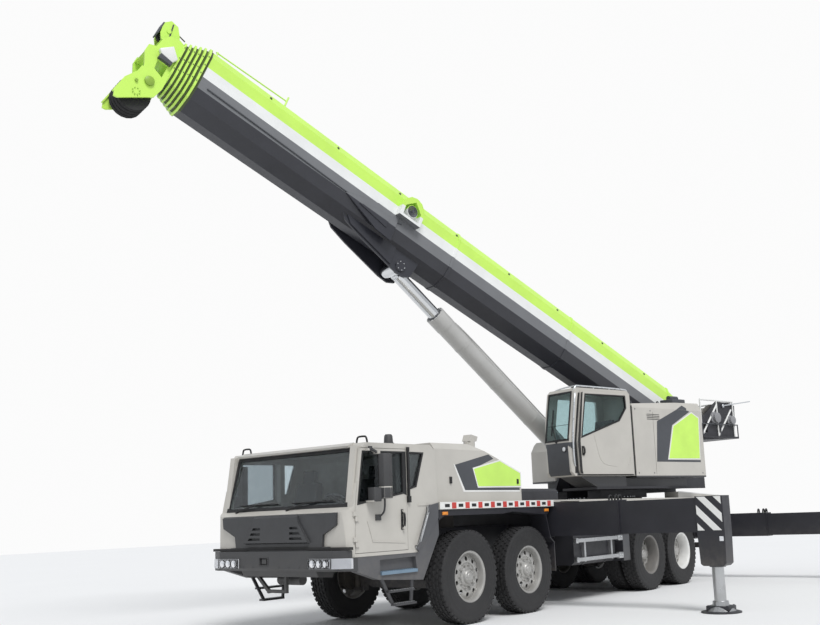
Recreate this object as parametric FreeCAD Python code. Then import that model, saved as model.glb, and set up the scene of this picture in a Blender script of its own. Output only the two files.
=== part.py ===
import FreeCAD, Part
import os
import math

os.makedirs("parts", exist_ok=True)

# Mobile crane: four-axle carrier, slewing upper works, six-section telescopic boom.
# Millimetres. Axle 1 is at x = 0 while the pieces are shaped; everything is moved at the
# end so that the origin is under the middle of the overall box, at the ground.
# X points to the front of the carrier, Y to its left side, Z up.

V = FreeCAD.Vector

# Wheels, all places along X follow from the tyre's radius
tyre_r = 685.0
tyre_w = 340.0
rim_r = 366.0
tyre_sides = 28
rim_sides = 16
single_y = 1205.0
twin_outer_y = 1205.0
twin_inner_y = 815.0
kingpin_y = 950.0
hub_pin_r = 50.0
front_tyre_gap = 210.0
mid_tyre_gap = 2970.0
rear_tyre_gap = 110.0
x2 = -(2 * tyre_r + front_tyre_gap)
x3 = x2 - (2 * tyre_r + mid_tyre_gap)
x4 = x3 - (2 * tyre_r + rear_tyre_gap)
axle_x = {"1": 0.0, "2": x2, "3": x3, "4": x4}

# Carrier body; its heights are those of the body's own frame, which body_lift sets on the hubs
frame_z0 = 900.0
frame_h = 500.0
hub_to_frame = 215.0
body_lift = tyre_r + hub_to_frame - frame_z0
frame_z1 = frame_z0 + frame_h
frame_y = 430.0
rail_t = 60.0
body_y = 1350.0
deck_rise = 390.0
deck_t = 24.0
deck_z = frame_z1 + deck_rise
strip_h = 110.0
wall = 45.0
gap = 6.0
seat = 0.5
cab_floor_z = 1100.0
cab_corner_r = 140.0
hood_top = 2660.0
hood_y = 1300.0

# Outriggers: beams, jacks and travel
beam_w = 290.0
beam_wall = 16.0
box_t = 28.0
front_beam_l = x2 - tyre_r - 280.0
front_beam_r = front_beam_l - 380.0
rear_beam_l = x4 - tyre_r - 1145.0
rear_beam_r = rear_beam_l - 370.0
front_beam_x = {"l": front_beam_l, "r": front_beam_r}
rear_beam_x = {"l": rear_beam_l, "r": rear_beam_r}
front_beam_z0 = 1180.0
front_beam_z1 = 1740.0
rear_beam_z0 = 900.0
rear_beam_z1 = 1400.0
box_end_y = 930.0
stage1_tip = 2600.0
stage1_root = 330.0
stage2_tip = 3925.0
stage2_root = 1750.0
jack_y = 4145.0
jack_r = 90.0
jack_house = 280.0
foot_r = 220.0
jack_travel = 500.0
stage1_travel = 1660.0
stage2_travel = 1290.0
frame_front = 600.0
frame_tail = rear_beam_r - 150.0

# Carrier door hinge
hinge_x = 2412.0
hinge_y = 1366.0
hinge_r = 15.0

# Slewing upper works, in their own frame with the slew axis at 0
slew_x = x3 - 580.0
slew_deg = -13.0
ring_r = 820.0
ring_h = 45.0
ring_z0 = deck_z
ring_z1 = ring_z0 + ring_h
floor_z0 = 1990.0
floor_z1 = 2040.0
slot_y = 300.0
plate_y = 520.0
plate_t = 60.0
pivot_x = -2450.0
pivot_z = 3300.0
upper_y = 1350.0
house_y = 640.0
house_z = 2210.0
house_back = -1910.0
cab_y0 = 620.0
door_gap = 8.0
winch_z = 3640.0
winch_main_x = -3540.0
winch_main_z = winch_z
winch_aux_x = -4150.0
winch_aux_z = 3600.0
winch_r = 330.0
winch_aux_r = 250.0
ledge_z = 3200.0
ledge_back = -4400.0

# Boom: half widths, then heights from the foot pin's axis
luff_deg = 24.0
boom_hw = 420.0
boom_flat = 115.0
boom_crown = 330.0
boom_b = -403.0
boom_a = -40.0
boom_t = 752.0
boom_len = 12940.0
tube_wall = 20.0
step_in = 27.0
ring_step = 72.0
ring_t = 34.0
section_travel = 7000.0
boom_pin_r = 90.0
lug_s = 8260.0
lug_t = -550.0
lug_y = 225.0
lug_plate_t = 35.0
lug_pin_r = 62.0
low_sheave_s = 298.0
low_sheave_t = -658.0
low_sheave_r = 270.0
top_sheave_s = 290.0
top_sheave_t = 700.0
top_sheave_r = 140.0

# Lift cylinder
foot_pin_x = 360.0
foot_pin_z = 2250.0
barrel_r = 185.0
rod_r = 122.0
barrel_len = 5080.0
eye_r = 140.0
eye_half = 190.0
rod_tail = 1350.0

# Overall placing
shift_x = 3497.1
shift_y = 0.0

nodes = {}


# Forms

def box(x0, x1, y0, y1, z0, z1):
    return Part.makeBox(x1 - x0, y1 - y0, z1 - z0, V(x0, y0, z0))


def prism_y(points, y0, y1):
    wire = Part.makePolygon([V(x, y0, z) for x, z in points] + [V(points[0][0], y0, points[0][1])])
    return Part.Face(wire).extrude(V(0, y1 - y0, 0))


def prism_x(points, x0, x1):
    wire = Part.makePolygon([V(x0, y, z) for y, z in points] + [V(x0, points[0][0], points[0][1])])
    return Part.Face(wire).extrude(V(x1 - x0, 0, 0))


def prism_z(points, z0, z1):
    wire = Part.makePolygon([V(x, y, z0) for x, y in points] + [V(points[0][0], points[0][1], z0)])
    return Part.Face(wire).extrude(V(0, 0, z1 - z0))


def cyl_x(r, x0, x1, y, z):
    return Part.makeCylinder(r, x1 - x0, V(x0, y, z), V(1, 0, 0))


def cyl_y(r, x, y0, y1, z):
    return Part.makeCylinder(r, y1 - y0, V(x, y0, z), V(0, 1, 0))


def cyl_z(r, x, y, z0, z1):
    return Part.makeCylinder(r, z1 - z0, V(x, y, z0), V(0, 0, 1))


def stepped_y(stations, x, z, sides):
    """flat-sided turned form along y; stations are (y, radius) pairs"""
    angles = [2 * math.pi * (i + 0.5) / sides for i in range(sides)] + [math.pi / sides]
    rings = [[V(x + r * math.cos(a), y, z + r * math.sin(a)) for a in angles] for y, r in stations]
    faces = [Part.Face(Part.makePolygon(rings[0])), Part.Face(Part.makePolygon(rings[-1]))]
    for near, far in zip(rings[:-1], rings[1:]):
        for i in range(sides):
            faces.append(Part.Face(Part.makePolygon([near[i], near[i + 1], far[i + 1], far[i], near[i]])))
    shell = Part.makeShell(faces)
    shell.sewShape()
    solid = Part.makeSolid(shell)
    if solid.Volume < 0:
        solid.reverse()
    return solid


def stepped_z(stations, x, y, sides):
    """flat-sided turned form along z; stations are (z, radius) pairs"""
    form = stepped_y([(z, r) for z, r in stations], 0, 0, sides)
    form.rotate(V(0, 0, 0), V(1, 0, 0), 90)
    form.translate(V(x, y, 0))
    return form


def bar(points, half, y0, y1):
    """a flat bar bent along a line of (x, z) points"""
    pieces = []
    for (xa, za), (xb, zb) in zip(points[:-1], points[1:]):
        length = math.hypot(xb - xa, zb - za)
        ux, uz = (xb - xa) / length * half, (zb - za) / length * half
        pieces.append(prism_y([(xa - ux - uz, za - uz + ux), (xb + ux - uz, zb + uz + ux),
                               (xb + ux + uz, zb + uz - ux), (xa - ux + uz, za - uz - ux)], y0, y1))
    return pieces


def mirrored(shape):
    return shape.mirror(V(0, 0, 0), V(0, 1, 0))


def both(shape):
    return [shape, mirrored(shape)]


def sided(shape, side):
    return shape if side > 0 else mirrored(shape)


def join(shapes):
    result = shapes[0]
    if len(shapes) > 1:
        result = shapes[0].multiFuse(shapes[1:])
    return result.removeSplitter()


def group(shapes):
    return Part.makeCompound(shapes)


def to_upper(shape):
    """from the upper works' own frame to the carrier frame"""
    moved = shape.copy()
    moved.rotate(V(0, 0, 0), V(0, 0, 1), slew_deg)
    moved.translate(V(slew_x, 0, 0))
    return moved


def to_boom(shape):
    """from the boom's own frame (x along, z across, pivot at 0) to the carrier frame"""
    moved = shape.copy()
    moved.rotate(V(0, 0, 0), V(0, 1, 0), -luff_deg)
    moved.translate(V(pivot_x, 0, pivot_z))
    return to_upper(moved)


# Running gear

def tyre(y):
    w = tyre_w / 2.0
    return stepped_y([(y - w * 0.86, rim_r), (y - w, rim_r + 130), (y - w * 0.84, tyre_r),
                      (y + w * 0.84, tyre_r), (y + w, rim_r + 130), (y + w * 0.86, rim_r)], 0, 0, tyre_sides)


def wheel(twin):
    """left wheel about its own hub; the disc sits deep on a twin and shallow on a single"""
    w = tyre_w / 2.0
    y = twin_outer_y if twin else single_y
    disc = y + (-75 if twin else 55)
    well = rim_r - 34
    solid = tyre(y)
    solid = solid.cut(stepped_y([(disc, well - 20), (disc + 60, well - 6), (y + w + 5, well)], 0, 0, rim_sides))
    solid = solid.cut(stepped_y([(y - w - 5, well), (disc - 16, well - 14)], 0, 0, rim_sides))
    hub = stepped_y([(disc - 20, 150), (disc + 30, 138), (disc + 62, 96)], 0, 0, rim_sides)
    parts = [solid, hub, cyl_y(70, 0, disc - 20, disc + 96, 0)]
    if twin:
        inner = tyre(twin_inner_y).cut(stepped_y([(twin_inner_y - w - 5, well), (twin_inner_y + w + 5, well)],
                                                 0, 0, rim_sides))
        spacer = stepped_y([(twin_inner_y + w * 0.8, rim_r - 4), (y - w * 0.8, rim_r - 4)], 0, 0, rim_sides)
        spacer = spacer.cut(stepped_y([(twin_inner_y, well), (y, well)], 0, 0, rim_sides))
        parts += [inner, spacer]
    return join(parts).cut(cyl_y(hub_pin_r + seat, 0, disc - 30, disc + 40, 0))


def wheels():
    for name, x in axle_x.items():
        shape = wheel(name in ("3", "4"))
        for tag, side in (("l", 1), ("r", -1)):
            placed = sided(shape.copy(), side)
            placed.translate(V(x, 0, tyre_r))
            nodes["wheel_%s%s" % (name, tag)] = placed


def axles():
    """beams, yokes, drive bowls and the spring packs that carry the frame"""
    parts = []
    frame_under = frame_z0 + body_lift
    fork = 190.0
    for name, x in axle_x.items():
        packs = both(box(x - 55, x + 55, 372, 428, tyre_r + 60, frame_under))
        if name in ("1", "2"):
            drop = [(-840, tyre_r + 40), (-560, tyre_r - 60), (560, tyre_r - 60), (840, tyre_r + 40),
                    (840, tyre_r - 80), (560, tyre_r - 180), (-560, tyre_r - 180), (-840, tyre_r - 80)]
            beam = prism_x(drop, x - 65, x + 65)
            seats = both(box(x - 65, x + 65, 360, 440, tyre_r - 70, tyre_r + 70))
            upright = box(x - 60, x + 60, 780, 840, tyre_r - fork - 50, tyre_r + fork + 50)
            arms = [upright]
            for z in (tyre_r - fork - seat - 44, tyre_r + fork + seat):
                arms.append(box(x - 60, x + 60, 780, kingpin_y + 50, z, z + 44))
            arm = join(arms)
            parts.append(join([beam, arm, mirrored(arm)] + seats + packs))
        else:
            tube = stepped_y([(-640, 96), (640, 96)], x, tyre_r, 16)
            bowl = stepped_y([(-230, 120), (-120, 245), (120, 245), (230, 120)], x, tyre_r, 16)
            nose = stepped_z([(tyre_r - 90, 100), (tyre_r + 90, 100)], x + 250, 0, 12)
            reach = twin_outer_y - 101
            stub = stepped_y([(-reach, 62), (reach, 62)], x, tyre_r, 12)
            stub = stub.fuse(cyl_y(hub_pin_r, x, -reach - 50, reach + 50, tyre_r))
            drums = both(stepped_y([(600, 225), (780, 225)], x, tyre_r, 16))
            seats = both(box(x - 60, x + 60, 360, 440, tyre_r, tyre_r + 70))
            parts.append(join([tube, bowl, nose, stub] + drums + seats + packs))
    nodes["axles"] = group(parts)


def knuckles():
    fork = 190.0
    for name in ("1", "2"):
        for tag, side in (("l", 1), ("r", -1)):
            x = axle_x[name]
            post = cyl_z(58, x, kingpin_y, tyre_r - fork, tyre_r + fork)
            spindle = cyl_y(hub_pin_r, x, kingpin_y, single_y + 85, tyre_r)
            drum = stepped_y([(kingpin_y + 95, 232), (single_y + 29, 232)], x, tyre_r, 16)
            arm = box(x - 260, x, kingpin_y - 30, kingpin_y + 20, tyre_r - 150, tyre_r - 110)
            nodes["knuckle_%s%s" % (name, tag)] = sided(join([post, spindle, drum, arm]), side)


# Chassis

def beam_rows():
    """place, beam centres, bottom and top of the beams"""
    return (("front", front_beam_x, front_beam_z0, front_beam_z1),
            ("rear", rear_beam_x, rear_beam_z0, rear_beam_z1))


def chassis():
    rails = both(box(frame_tail, frame_front, frame_y - rail_t, frame_y, frame_z0, frame_z1))
    horns = both(box(frame_front - 10, 2190, frame_y - rail_t, frame_y, frame_z0, cab_floor_z))
    horns += both(box(2180, 2418, frame_y - rail_t, frame_y, frame_z0 + 35, cab_floor_z))
    cross = []
    for x in (frame_front - 60, -1000, -2000, x3 + 1700, x3 + 900, x4 - 900):
        cross.append(box(x - 40, x + 40, -frame_y + 10, frame_y - 10, frame_z0 + 60, frame_z1 - 60))
    cross.append(box(2300, 2418, -frame_y + 10, frame_y - 10, frame_z0 + 35, cab_floor_z - 60))
    top = box(frame_tail + 50, front_beam_r - 280, -frame_y, frame_y, frame_z1 - 5, frame_z1 + 40)
    half_side = ring_r * 0.92
    tower = prism_z([(slew_x + half_side, half_side * 0.7), (slew_x + half_side * 0.7, half_side),
                     (slew_x - half_side * 0.7, half_side), (slew_x - half_side, half_side * 0.7),
                     (slew_x - half_side, -half_side * 0.7), (slew_x - half_side * 0.7, -half_side),
                     (slew_x + half_side * 0.7, -half_side), (slew_x + half_side, -half_side * 0.7)],
                    frame_z1, ring_z0 - 40)
    ring_seat = stepped_z([(ring_z0 - 45, ring_r), (ring_z0, ring_r)], slew_x, 0, 32)
    slope = prism_y([(slew_x + half_side - 10, frame_z1 + 20), (slew_x + half_side + 900, frame_z1 + 20),
                     (slew_x + half_side - 10, ring_z0 - 60)], -frame_y, -frame_y + 50)
    back = prism_y([(slew_x - half_side + 10, frame_z1 + 20), (slew_x - half_side - 900, frame_z1 + 20),
                    (slew_x - half_side + 10, ring_z0 - 60)], -frame_y, -frame_y + 50)
    webs = [slope, mirrored(slope), back, mirrored(back)]
    parts = rails + horns + cross + [top, tower, ring_seat] + webs
    half = beam_w / 2.0 + gap
    for place, xs, z0, z1 in beam_rows():
        for x in xs.values():
            parts.append(box(x - half - box_t, x + half + box_t, -box_end_y, box_end_y,
                             z0 - gap - box_t, z1 + gap + box_t * 0.7))
    guard = box(frame_tail - 20, frame_tail, -1150, 1150, 640, 760)
    hang = both(box(frame_tail - 20, frame_tail + 60, 370, 430, 640, frame_z0 + 20))
    body = join(parts + [guard] + hang)
    for place, xs, z0, z1 in beam_rows():
        for x in xs.values():
            body = body.cut(box(x - half, x + half, -1500, 1500, z0 - seat, z1 + gap))
    nodes["chassis_frame"] = body


def engine():
    nodes["engine_block"] = box(-900, 500, -frame_y + rail_t, frame_y - rail_t, frame_z0 + 50, frame_z1 + 350)


def outriggers():
    ground = -body_lift
    for place, xs, z0, z1 in beam_rows():
        for tag, side in (("l", 1), ("r", -1)):
            x = xs[tag]
            half = beam_w / 2.0
            tube = box(x - half, x + half, stage1_root, stage1_tip, z0, z1)
            tube = tube.cut(box(x - half + beam_wall, x + half - beam_wall, stage1_root - 10, stage1_tip + 10,
                                z0 + beam_wall, z1 - beam_wall))
            inner_half = half - beam_wall - gap
            inner = box(x - inner_half, x + inner_half, stage2_root, stage2_tip,
                        z0 + beam_wall + seat, z1 - beam_wall - gap)
            y0, y1 = stage2_tip - 5, jack_y + 215
            h = jack_house / 2.0
            house = prism_x([(y0, z0 + 30), (y0 + 20, 720), (y0 + 60, 690), (y1 - 60, 690), (y1 - 15, 730),
                             (y1, z0), (y1, z1), (y0, z1)], x - h, x + h)
            bore = cyl_z(jack_r + seat, x, jack_y, 600, z1 - 40)
            second = join([inner, house]).cut(bore)
            leg = cyl_z(jack_r, x, jack_y, ground + 60, z1 - 50 - jack_travel)
            collar = stepped_z([(ground + 90, 130), (ground + 170, 118)], x, jack_y, 16)
            foot = stepped_z([(ground, foot_r), (ground + 30, foot_r), (ground + 95, 150)], x, jack_y, 16)
            jack = join([leg, collar, foot])
            for key, shape in (("beam1", tube), ("beam2", second), ("jack", jack)):
                nodes["%s_%s_%s" % (key, place, tag)] = sided(shape, side)


def deck_and_hood():
    """hood over the engine, side ledges and the walkway plates with the turntable's hole"""
    base = deck_z - strip_h
    back = x2 + 30
    profile = [(690, base), (690, hood_top), (-240, hood_top + 12), (-880, hood_top - 190),
               (back, 2245), (back, base)]
    inside = [(650, base - 20), (650, hood_top - 40), (-230, hood_top - 28), (-860, hood_top - 228),
              (back + 40, 2210), (back + 40, base - 20)]
    section = [(-hood_y, base), (-hood_y, hood_top - 90), (-hood_y + 80, hood_top + 20),
               (hood_y - 80, hood_top + 20), (hood_y, hood_top - 90), (hood_y, base)]
    hood = prism_y(profile, -hood_y, hood_y).common(prism_x(section, back, 690))
    hood = hood.cut(prism_y(inside, -hood_y + 45, hood_y - 45).common(
        prism_x([(y * 0.965, z - (40 if z > 2000 else 30)) for y, z in section], back - 5, 700)))
    for i in range(5):
        z = 1860 + 60 * i
        hood = hood.cut(prism_y([(back - 5, z), (back + 18, z + 8), (back + 18, z + 34), (back - 5, z + 26)],
                                -900, 900))
    beam_side = front_beam_l + beam_w / 2.0 + gap + 20
    ledges = both(box(beam_side, 690, hood_y - 60, 1380, base, deck_z))
    ledges += both(box(front_beam_l - 75, beam_side + 10, hood_y - 60, 1380, front_beam_z1 + gap + 6, deck_z))
    plates = [box(front_beam_r - 320, back + 5, -1380, 1380, deck_z - deck_t, deck_z),
              box(frame_tail, front_beam_r - 320, -1380, 1380, deck_z - deck_t, deck_z)]
    lips = both(box(frame_tail, front_beam_r - 330, 1362, 1380, deck_z - 90, deck_z))
    hole = stepped_z([(deck_z - 100, ring_r + 60), (deck_z + 20, ring_r + 60)], slew_x, 0, 32)
    tail = prism_y([(x4 - 150, deck_z - 5), (x4 - 150, deck_z + 130), (frame_tail, deck_z + 40),
                    (frame_tail, deck_z - 5)], 980, 1300)
    carriers = [box(x - 30, x + 30, -1300, 1300, frame_z1 + 40, deck_z - deck_t + 5)
                for x in (x3 + 1500, x4 - 900)]
    legs = [box(x - 30, x + 30, -1250, 1250, deck_z - 60, deck_z - deck_t + 5) for x in (slew_x, x3 + 2200)]
    body = join([hood] + ledges + plates + lips + both(tail) + carriers + legs).cut(hole)
    pot = stepped_z([(2340, 95), (2800, 95)], -1050, 640, 16)
    stack = prism_y([(-1150, 2790), (-960, 2790), (-1010, 2900), (-1190, 2870)], 560, 720)
    body = join([body, pot, stack])
    nodes["hood_and_deck"] = body


def fenders():
    base = deck_z - strip_h
    arch = x2 - tyre_r
    side = prism_y([(690, base), (arch + 30, base), (arch + 20, base - 110), (arch + 130, base - 130),
                    (x2 + 400, base - 60), (x2 - 60 + tyre_r + 20, base - 90), (690 - 120, base - 90),
                    (690, base - 150)], 1040, 1360)
    flap = join([side] + bar([(arch + 120, base - 60), (arch - 5, 1165), (arch - 110, 1085), (arch - 118, 615)],
                             9, 1040, 1360))
    guards = []
    for x in (x3, x4):
        guards.append(prism_y([(x - tyre_r - 20, frame_z1 + 20), (x - tyre_r + 90, frame_z1 + 80),
                               (x + tyre_r - 90, frame_z1 + 80), (x + tyre_r + 20, frame_z1 + 20),
                               (x + tyre_r + 20, frame_z1 + 8), (x + tyre_r - 100, frame_z1 + 60),
                               (x - tyre_r + 100, frame_z1 + 60), (x - tyre_r - 20, frame_z1 + 8)], 640, 1370))
    link = box(x4 - tyre_r + 200, x3 + tyre_r - 200, frame_y, 660, frame_z1 + 40, frame_z1 + 62)
    tower_r = ring_r * 1.15
    cutter = stepped_z([(frame_z1 - 50, tower_r), (deck_z + 50, tower_r)], slew_x, 0, 32)
    guards = join(guards + [link]).cut(cutter)
    nodes["fenders"] = group(both(flap) + both(guards))


# Carrier cab

cab_profile = [(2515, 1100), (2545, 1690), (2440, 1752), (2247, 2546), (2195, 2600), (840, 2612), (725, 2530),
               (692, 1790), (705, 1560), (1160, 1100)]
cab_inside = [(2470, 1150), (2490, 1660), (2392, 1740), (2203, 2515), (2165, 2555), (860, 2565), (770, 2490),
              (737, 1800), (750, 1580), (1180, 1150)]


def cab_plan(y_half, x_front, r):
    """plan of the cab with round front corners"""
    face = box(600, x_front, -y_half, y_half, 900, 2700)
    edges = [e for e in face.Edges if e.BoundBox.ZLength > 100 and e.BoundBox.XMin > x_front - 1]
    return face.makeFillet(r, edges)


def door_outline(e):
    return [(2416 + e, 1150 - e), (2406 + e, 1740), (2290 + e, 2520 + e), (1380 - e, 2530 + e), (1380 - e, 1150 - e)]


def door_window(e):
    return [(2350 + e, 1790 - e), (2246 + e, 2470 + e), (1450 - e, 2480 + e), (1450 - e, 1930 - e)]


def quarter_window(e):
    return [(1310 + e, 1990 - e), (1310 + e, 2480 + e), (1015 - e, 2480 + e), (1180 - e, 2020 - e)]


def screen_opening(e):
    return [(-1195 - e, 1790 - e), (1195 + e, 1790 - e), (1150 + e, 2495 + e), (-1150 - e, 2495 + e)]


def side_slab(points, y0, y1, side):
    return sided(prism_y(points, y0, y1), side)


def carrier_cab():
    shell = prism_y(cab_profile, -body_y, body_y).common(cab_plan(body_y, 2545, cab_corner_r))
    inner_plan = cab_plan(body_y - wall, 2490, cab_corner_r - wall)
    shell = shell.cut(prism_y(cab_inside, -body_y + wall, body_y - wall).common(inner_plan))
    shell = shell.cut(prism_x(screen_opening(0), 2150, 2700))
    outer_plan = cab_plan(body_y, 2545, cab_corner_r)
    for side in (1, -1):
        shell = shell.cut(side_slab(door_outline(gap), body_y - 150, body_y + 10, side))
        jamb = prism_y(door_outline(gap + 30), body_y - 150, body_y - wall - gap)
        jamb = jamb.cut(prism_y(door_outline(-50), body_y - 200, body_y))
        shell = shell.fuse(sided(jamb.common(outer_plan), side))
        shell = shell.cut(side_slab(quarter_window(0), body_y - 60, body_y + 10, side))
    visor = prism_y([(2225, 2545), (2244, 2535), (2300, 2540), (2320, 2565), (2195, 2612), (2180, 2580)],
                    -1150, 1150)
    crease = prism_y([(1150, 1740), (940, 1745), (930, 1780), (1140, 1775)], body_y - 5, body_y + 8)
    shell = join([shell, visor] + both(crease))
    doors = []
    for side in (1, -1):
        hinges = []
        for z in (1230, 1560):
            hinges.append(stepped_z([(z + 66, hinge_r), (z + 126, hinge_r)], hinge_x, hinge_y, 8))
            hinges.append(stepped_z([(z - 6, 7), (z + 70, 7)], hinge_x, hinge_y, 6))
            hinges.append(box(hinge_x + 8, hinge_x + 44, body_y - 45, hinge_y + 4, z + 66, z + 126))
        shell = shell.fuse(sided(join(hinges), side))
    nodes["cab_shell"] = shell.removeSplitter()
    for tag, side in (("l", 1), ("r", -1)):
        door = prism_y(door_outline(0), body_y - wall, body_y).common(outer_plan)
        door = door.cut(prism_y(door_window(0), body_y - wall - 5, body_y + 5))
        swage = prism_y([(1440, 1240), (2090, 1280), (2190, 1556), (2172, 1562), (2078, 1298), (1440, 1256)],
                        body_y - 5, body_y + 7)
        grip = bar([(1490, 1440), (1478, 1560), (1490, 1680)], 12, body_y + 24, body_y + 48)
        grip += [box(1474, 1502, body_y - 5, body_y + 48, 1436, 1460),
                 box(1474, 1502, body_y - 5, body_y + 48, 1660, 1684)]
        leaf = []
        for z in (1230, 1560):
            leaf.append(cyl_z(hinge_r, hinge_x, hinge_y, z, z + 60))
            leaf.append(box(hinge_x - 50, hinge_x, body_y - 30, hinge_y + 4, z, z + 60))
        arm = bar([(2190, 2500), (2120, 2500), (2060, 2470)], 14, body_y + 30, body_y + 60)
        arm += [box(2176, 2206, body_y - 5, body_y + 60, 2484, 2516),
                box(2176, 2206, body_y - 5, body_y + 150, 1800, 1824)]
        glass = prism_z([(1900, body_y + 70), (2010, body_y + 55), (2060, body_y + 110), (2040, body_y + 190),
                         (1960, body_y + 230), (1890, body_y + 200)], 1850, 2440)
        small = prism_z([(2060, body_y + 50), (2200, body_y + 40), (2200, body_y + 160), (2080, body_y + 170)],
                        1812, 1990)
        link = box(2030, 2070, body_y + 30, body_y + 120, 2440, 2480)
        door = join([door, swage, glass, small, link] + grip + leaf + arm)
        for z in (1230, 1560):
            door = door.cut(cyl_z(7.5, hinge_x, hinge_y, z - 10, z + 66))
        pane = prism_y(door_window(-0.4), body_y - 30, body_y - 22)
        nodes["cab_door_%s" % tag] = sided(door, side)
        nodes["door_glass_%s" % tag] = sided(pane, side)


def cab_glass():
    ax, az, bx, bz = 2440.0, 1752.0, 2247.0, 2546.0
    length = math.hypot(bx - ax, bz - az)
    nx, nz = (bz - az) / length, (ax - bx) / length
    slab = prism_y([(ax - nx * 14, az - nz * 14), (bx - nx * 14, bz - nz * 14), (bx - nx * 24, bz - nz * 24),
                    (ax - nx * 24, az - nz * 24)], -1300, 1300)
    screen = slab.common(prism_x(screen_opening(-0.4), 2150, 2700))
    quarter = prism_y(quarter_window(-0.4), body_y - 30, body_y - 22)
    nodes["cab_glass"] = group([screen] + both(quarter))


def skirt_plate():
    return prism_y([(2400, 1097), (2405, 915), (2200, 850), (1990, 785), (1080, 720), (850, 1090), (700, 1330),
                    (705, 1560), (1160, 1094), (1163, 1097)], 1250, body_y + 4)


def cab_skirts():
    """dark lower side panels with the step recess, the slanted rear part and the grab bar"""
    plate = skirt_plate()
    rear = prism_y([(712, 1560), (698, 1780), (930, 1740), (1210, 1148), (1164, 1100)], body_y + 0.4, body_y + 16)
    recess = prism_y([(1960, 1040), (1230, 1050), (1215, 870), (1960, 850)], 1290, body_y + 30)
    tread = box(1230, 1955, 1285, body_y + 30, 846, 880)
    hang = box(1300, 2100, 1252, 1290, 1060, cab_floor_z)
    grab = bar([(940, 1735), (1235, 1150)], 14, body_y + 40, body_y + 68)
    grab += [box(936, 964, body_y, body_y + 60, 1690, 1718), box(1205, 1233, body_y, body_y + 60, 1170, 1198)]
    piece = join([plate.cut(recess), tread, hang, rear] + grab)
    nodes["cab_skirts"] = group(both(piece))


# Front

def front_face_x(z):
    return 2515.0 + 30.0 * (z - 1100.0) / 590.0


def front_bumper():
    """lower front panel with its raised centre and slots, bumper, tow eye and under-run loop"""
    z0, z1 = 1240.0, 1684.0
    slab = prism_y([(front_face_x(z0), z0), (front_face_x(z1), z1), (2580, z1 - 20), (2562, z0)], -1180, 1180)
    shape = [(1165, 1690), (1150, 1520), (900, 1400), (880, z0 - 5), (-880, z0 - 5), (-900, 1400),
             (-1150, 1520), (-1165, 1690)]
    panel = slab.common(prism_x(shape, 2400, 2700))
    centre = prism_y([(2560, z0 + 50), (2570, z1), (2606, z1 - 36), (2618, z0 + 70)], -700, 700)
    centre = centre.common(prism_x([(430, z1), (470, 1560), (660, z0 + 50), (-660, z0 + 50), (-470, 1560),
                                    (-430, z1)], 2400, 2700))
    parts = join([panel, centre])
    for z in (1345, 1415, 1485):
        inner = 300
        outer = 560 - (z - 1345) * 0.6
        for side in (1, -1):
            slot = prism_x([(side * inner, z), (side * outer, z), (side * (outer - 30), z + 32),
                            (side * inner, z + 32)], 2575, 2700)
            parts = parts.cut(slot)
    bumper = prism_z([(2420, -1392), (2420, 1392), (2530, 1392), (2640, 1150), (2640, -1150), (2530, -1392)],
                     930, 1196)
    bumper = bumper.cut(box(2300, 2470, -1300, 1300, 980, 1210))
    bumper = bumper.cut(box(2300, front_face_x(1200) + 1, -1400, 1400, cab_floor_z - 3, 1210))
    bumper = bumper.cut(prism_y([(2600, 925), (2660, 925), (2660, 990)], -1500, 1500))
    for side in (1, -1):
        bumper = bumper.cut(lamp_pod(side, 0.4))
    bumper = bumper.cut(box(2612, 2650, -275, -105, 1010, 1110))
    tow = box(2560, 2634, -235, -145, 1030, 1092)
    apron = prism_y([(2200, 930.4), (2560, 930.4), (2520, 850), (2260, 830)], -760, 760)
    back = box(front_face_x(1240) + 1, 2560, -1000, 1000, 1190, 1245)
    arms = both(box(2418, 2480, 330, 500, 935, 1096))
    pot = cyl_y(72, 2330, -190, 260, 800)
    loop = [(-520, 860), (-285, 650), (70, 650), (70, 860)]
    bars = []
    for (ya, za), (yb, zb) in zip(loop[:-1], loop[1:]):
        length = math.hypot(yb - ya, zb - za)
        uy, uz = (yb - ya) / length * 22, (zb - za) / length * 22
        bars.append(prism_x([(ya - uy - uz, za - uz + uy), (yb + uy - uz, zb + uz + uy),
                             (yb + uy + uz, zb + uz - uy), (ya - uy + uz, za - uz - uy)], 2440, 2484))
    nodes["front_bumper"] = join([parts, bumper, tow, apron, back, pot] + arms + bars)


def lamp_pod(side, e):
    return prism_z([(2560 - e, side * (1392 + e)), (2534 + e, side * (1392 + e)), (2652 + e, side * 1146),
                    (2652 + e, side * (720 - e)), (2580 - e, side * (720 - e)), (2580 - e, side * 1120),
                    (2495 - e, side * 1310), (2495 - e, side * (1392 + e))], 964 - e, 1096 + e)


def lamps():
    solids = []
    for side in (1, -1):
        pod = prism_z([(2495, side * 1384), (2534, side * 1388), (2650, side * 1146), (2650, side * 720),
                       (2580, side * 720), (2580, side * 1120), (2495, side * 1310)], 964, 1096)
        solids.append(pod)
        solids.append(box(frame_tail - 62, frame_tail - 20, min(side * 760, side * 1140),
                          max(side * 760, side * 1140), 640, 760))
        for x in (560, front_beam_l + 370):
            y0, y1 = side * 1360, side * 1374
            solids.append(box(x - 60, x + 60, min(y0, y1), max(y0, y1), 1600, 1646))
    solids.append(stepped_z([(2612, 78), (2650, 78), (2660, 62), (2760, 56), (2780, 40)], 1230, 900, 16))
    nodes["lamps"] = group(solids)


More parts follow.
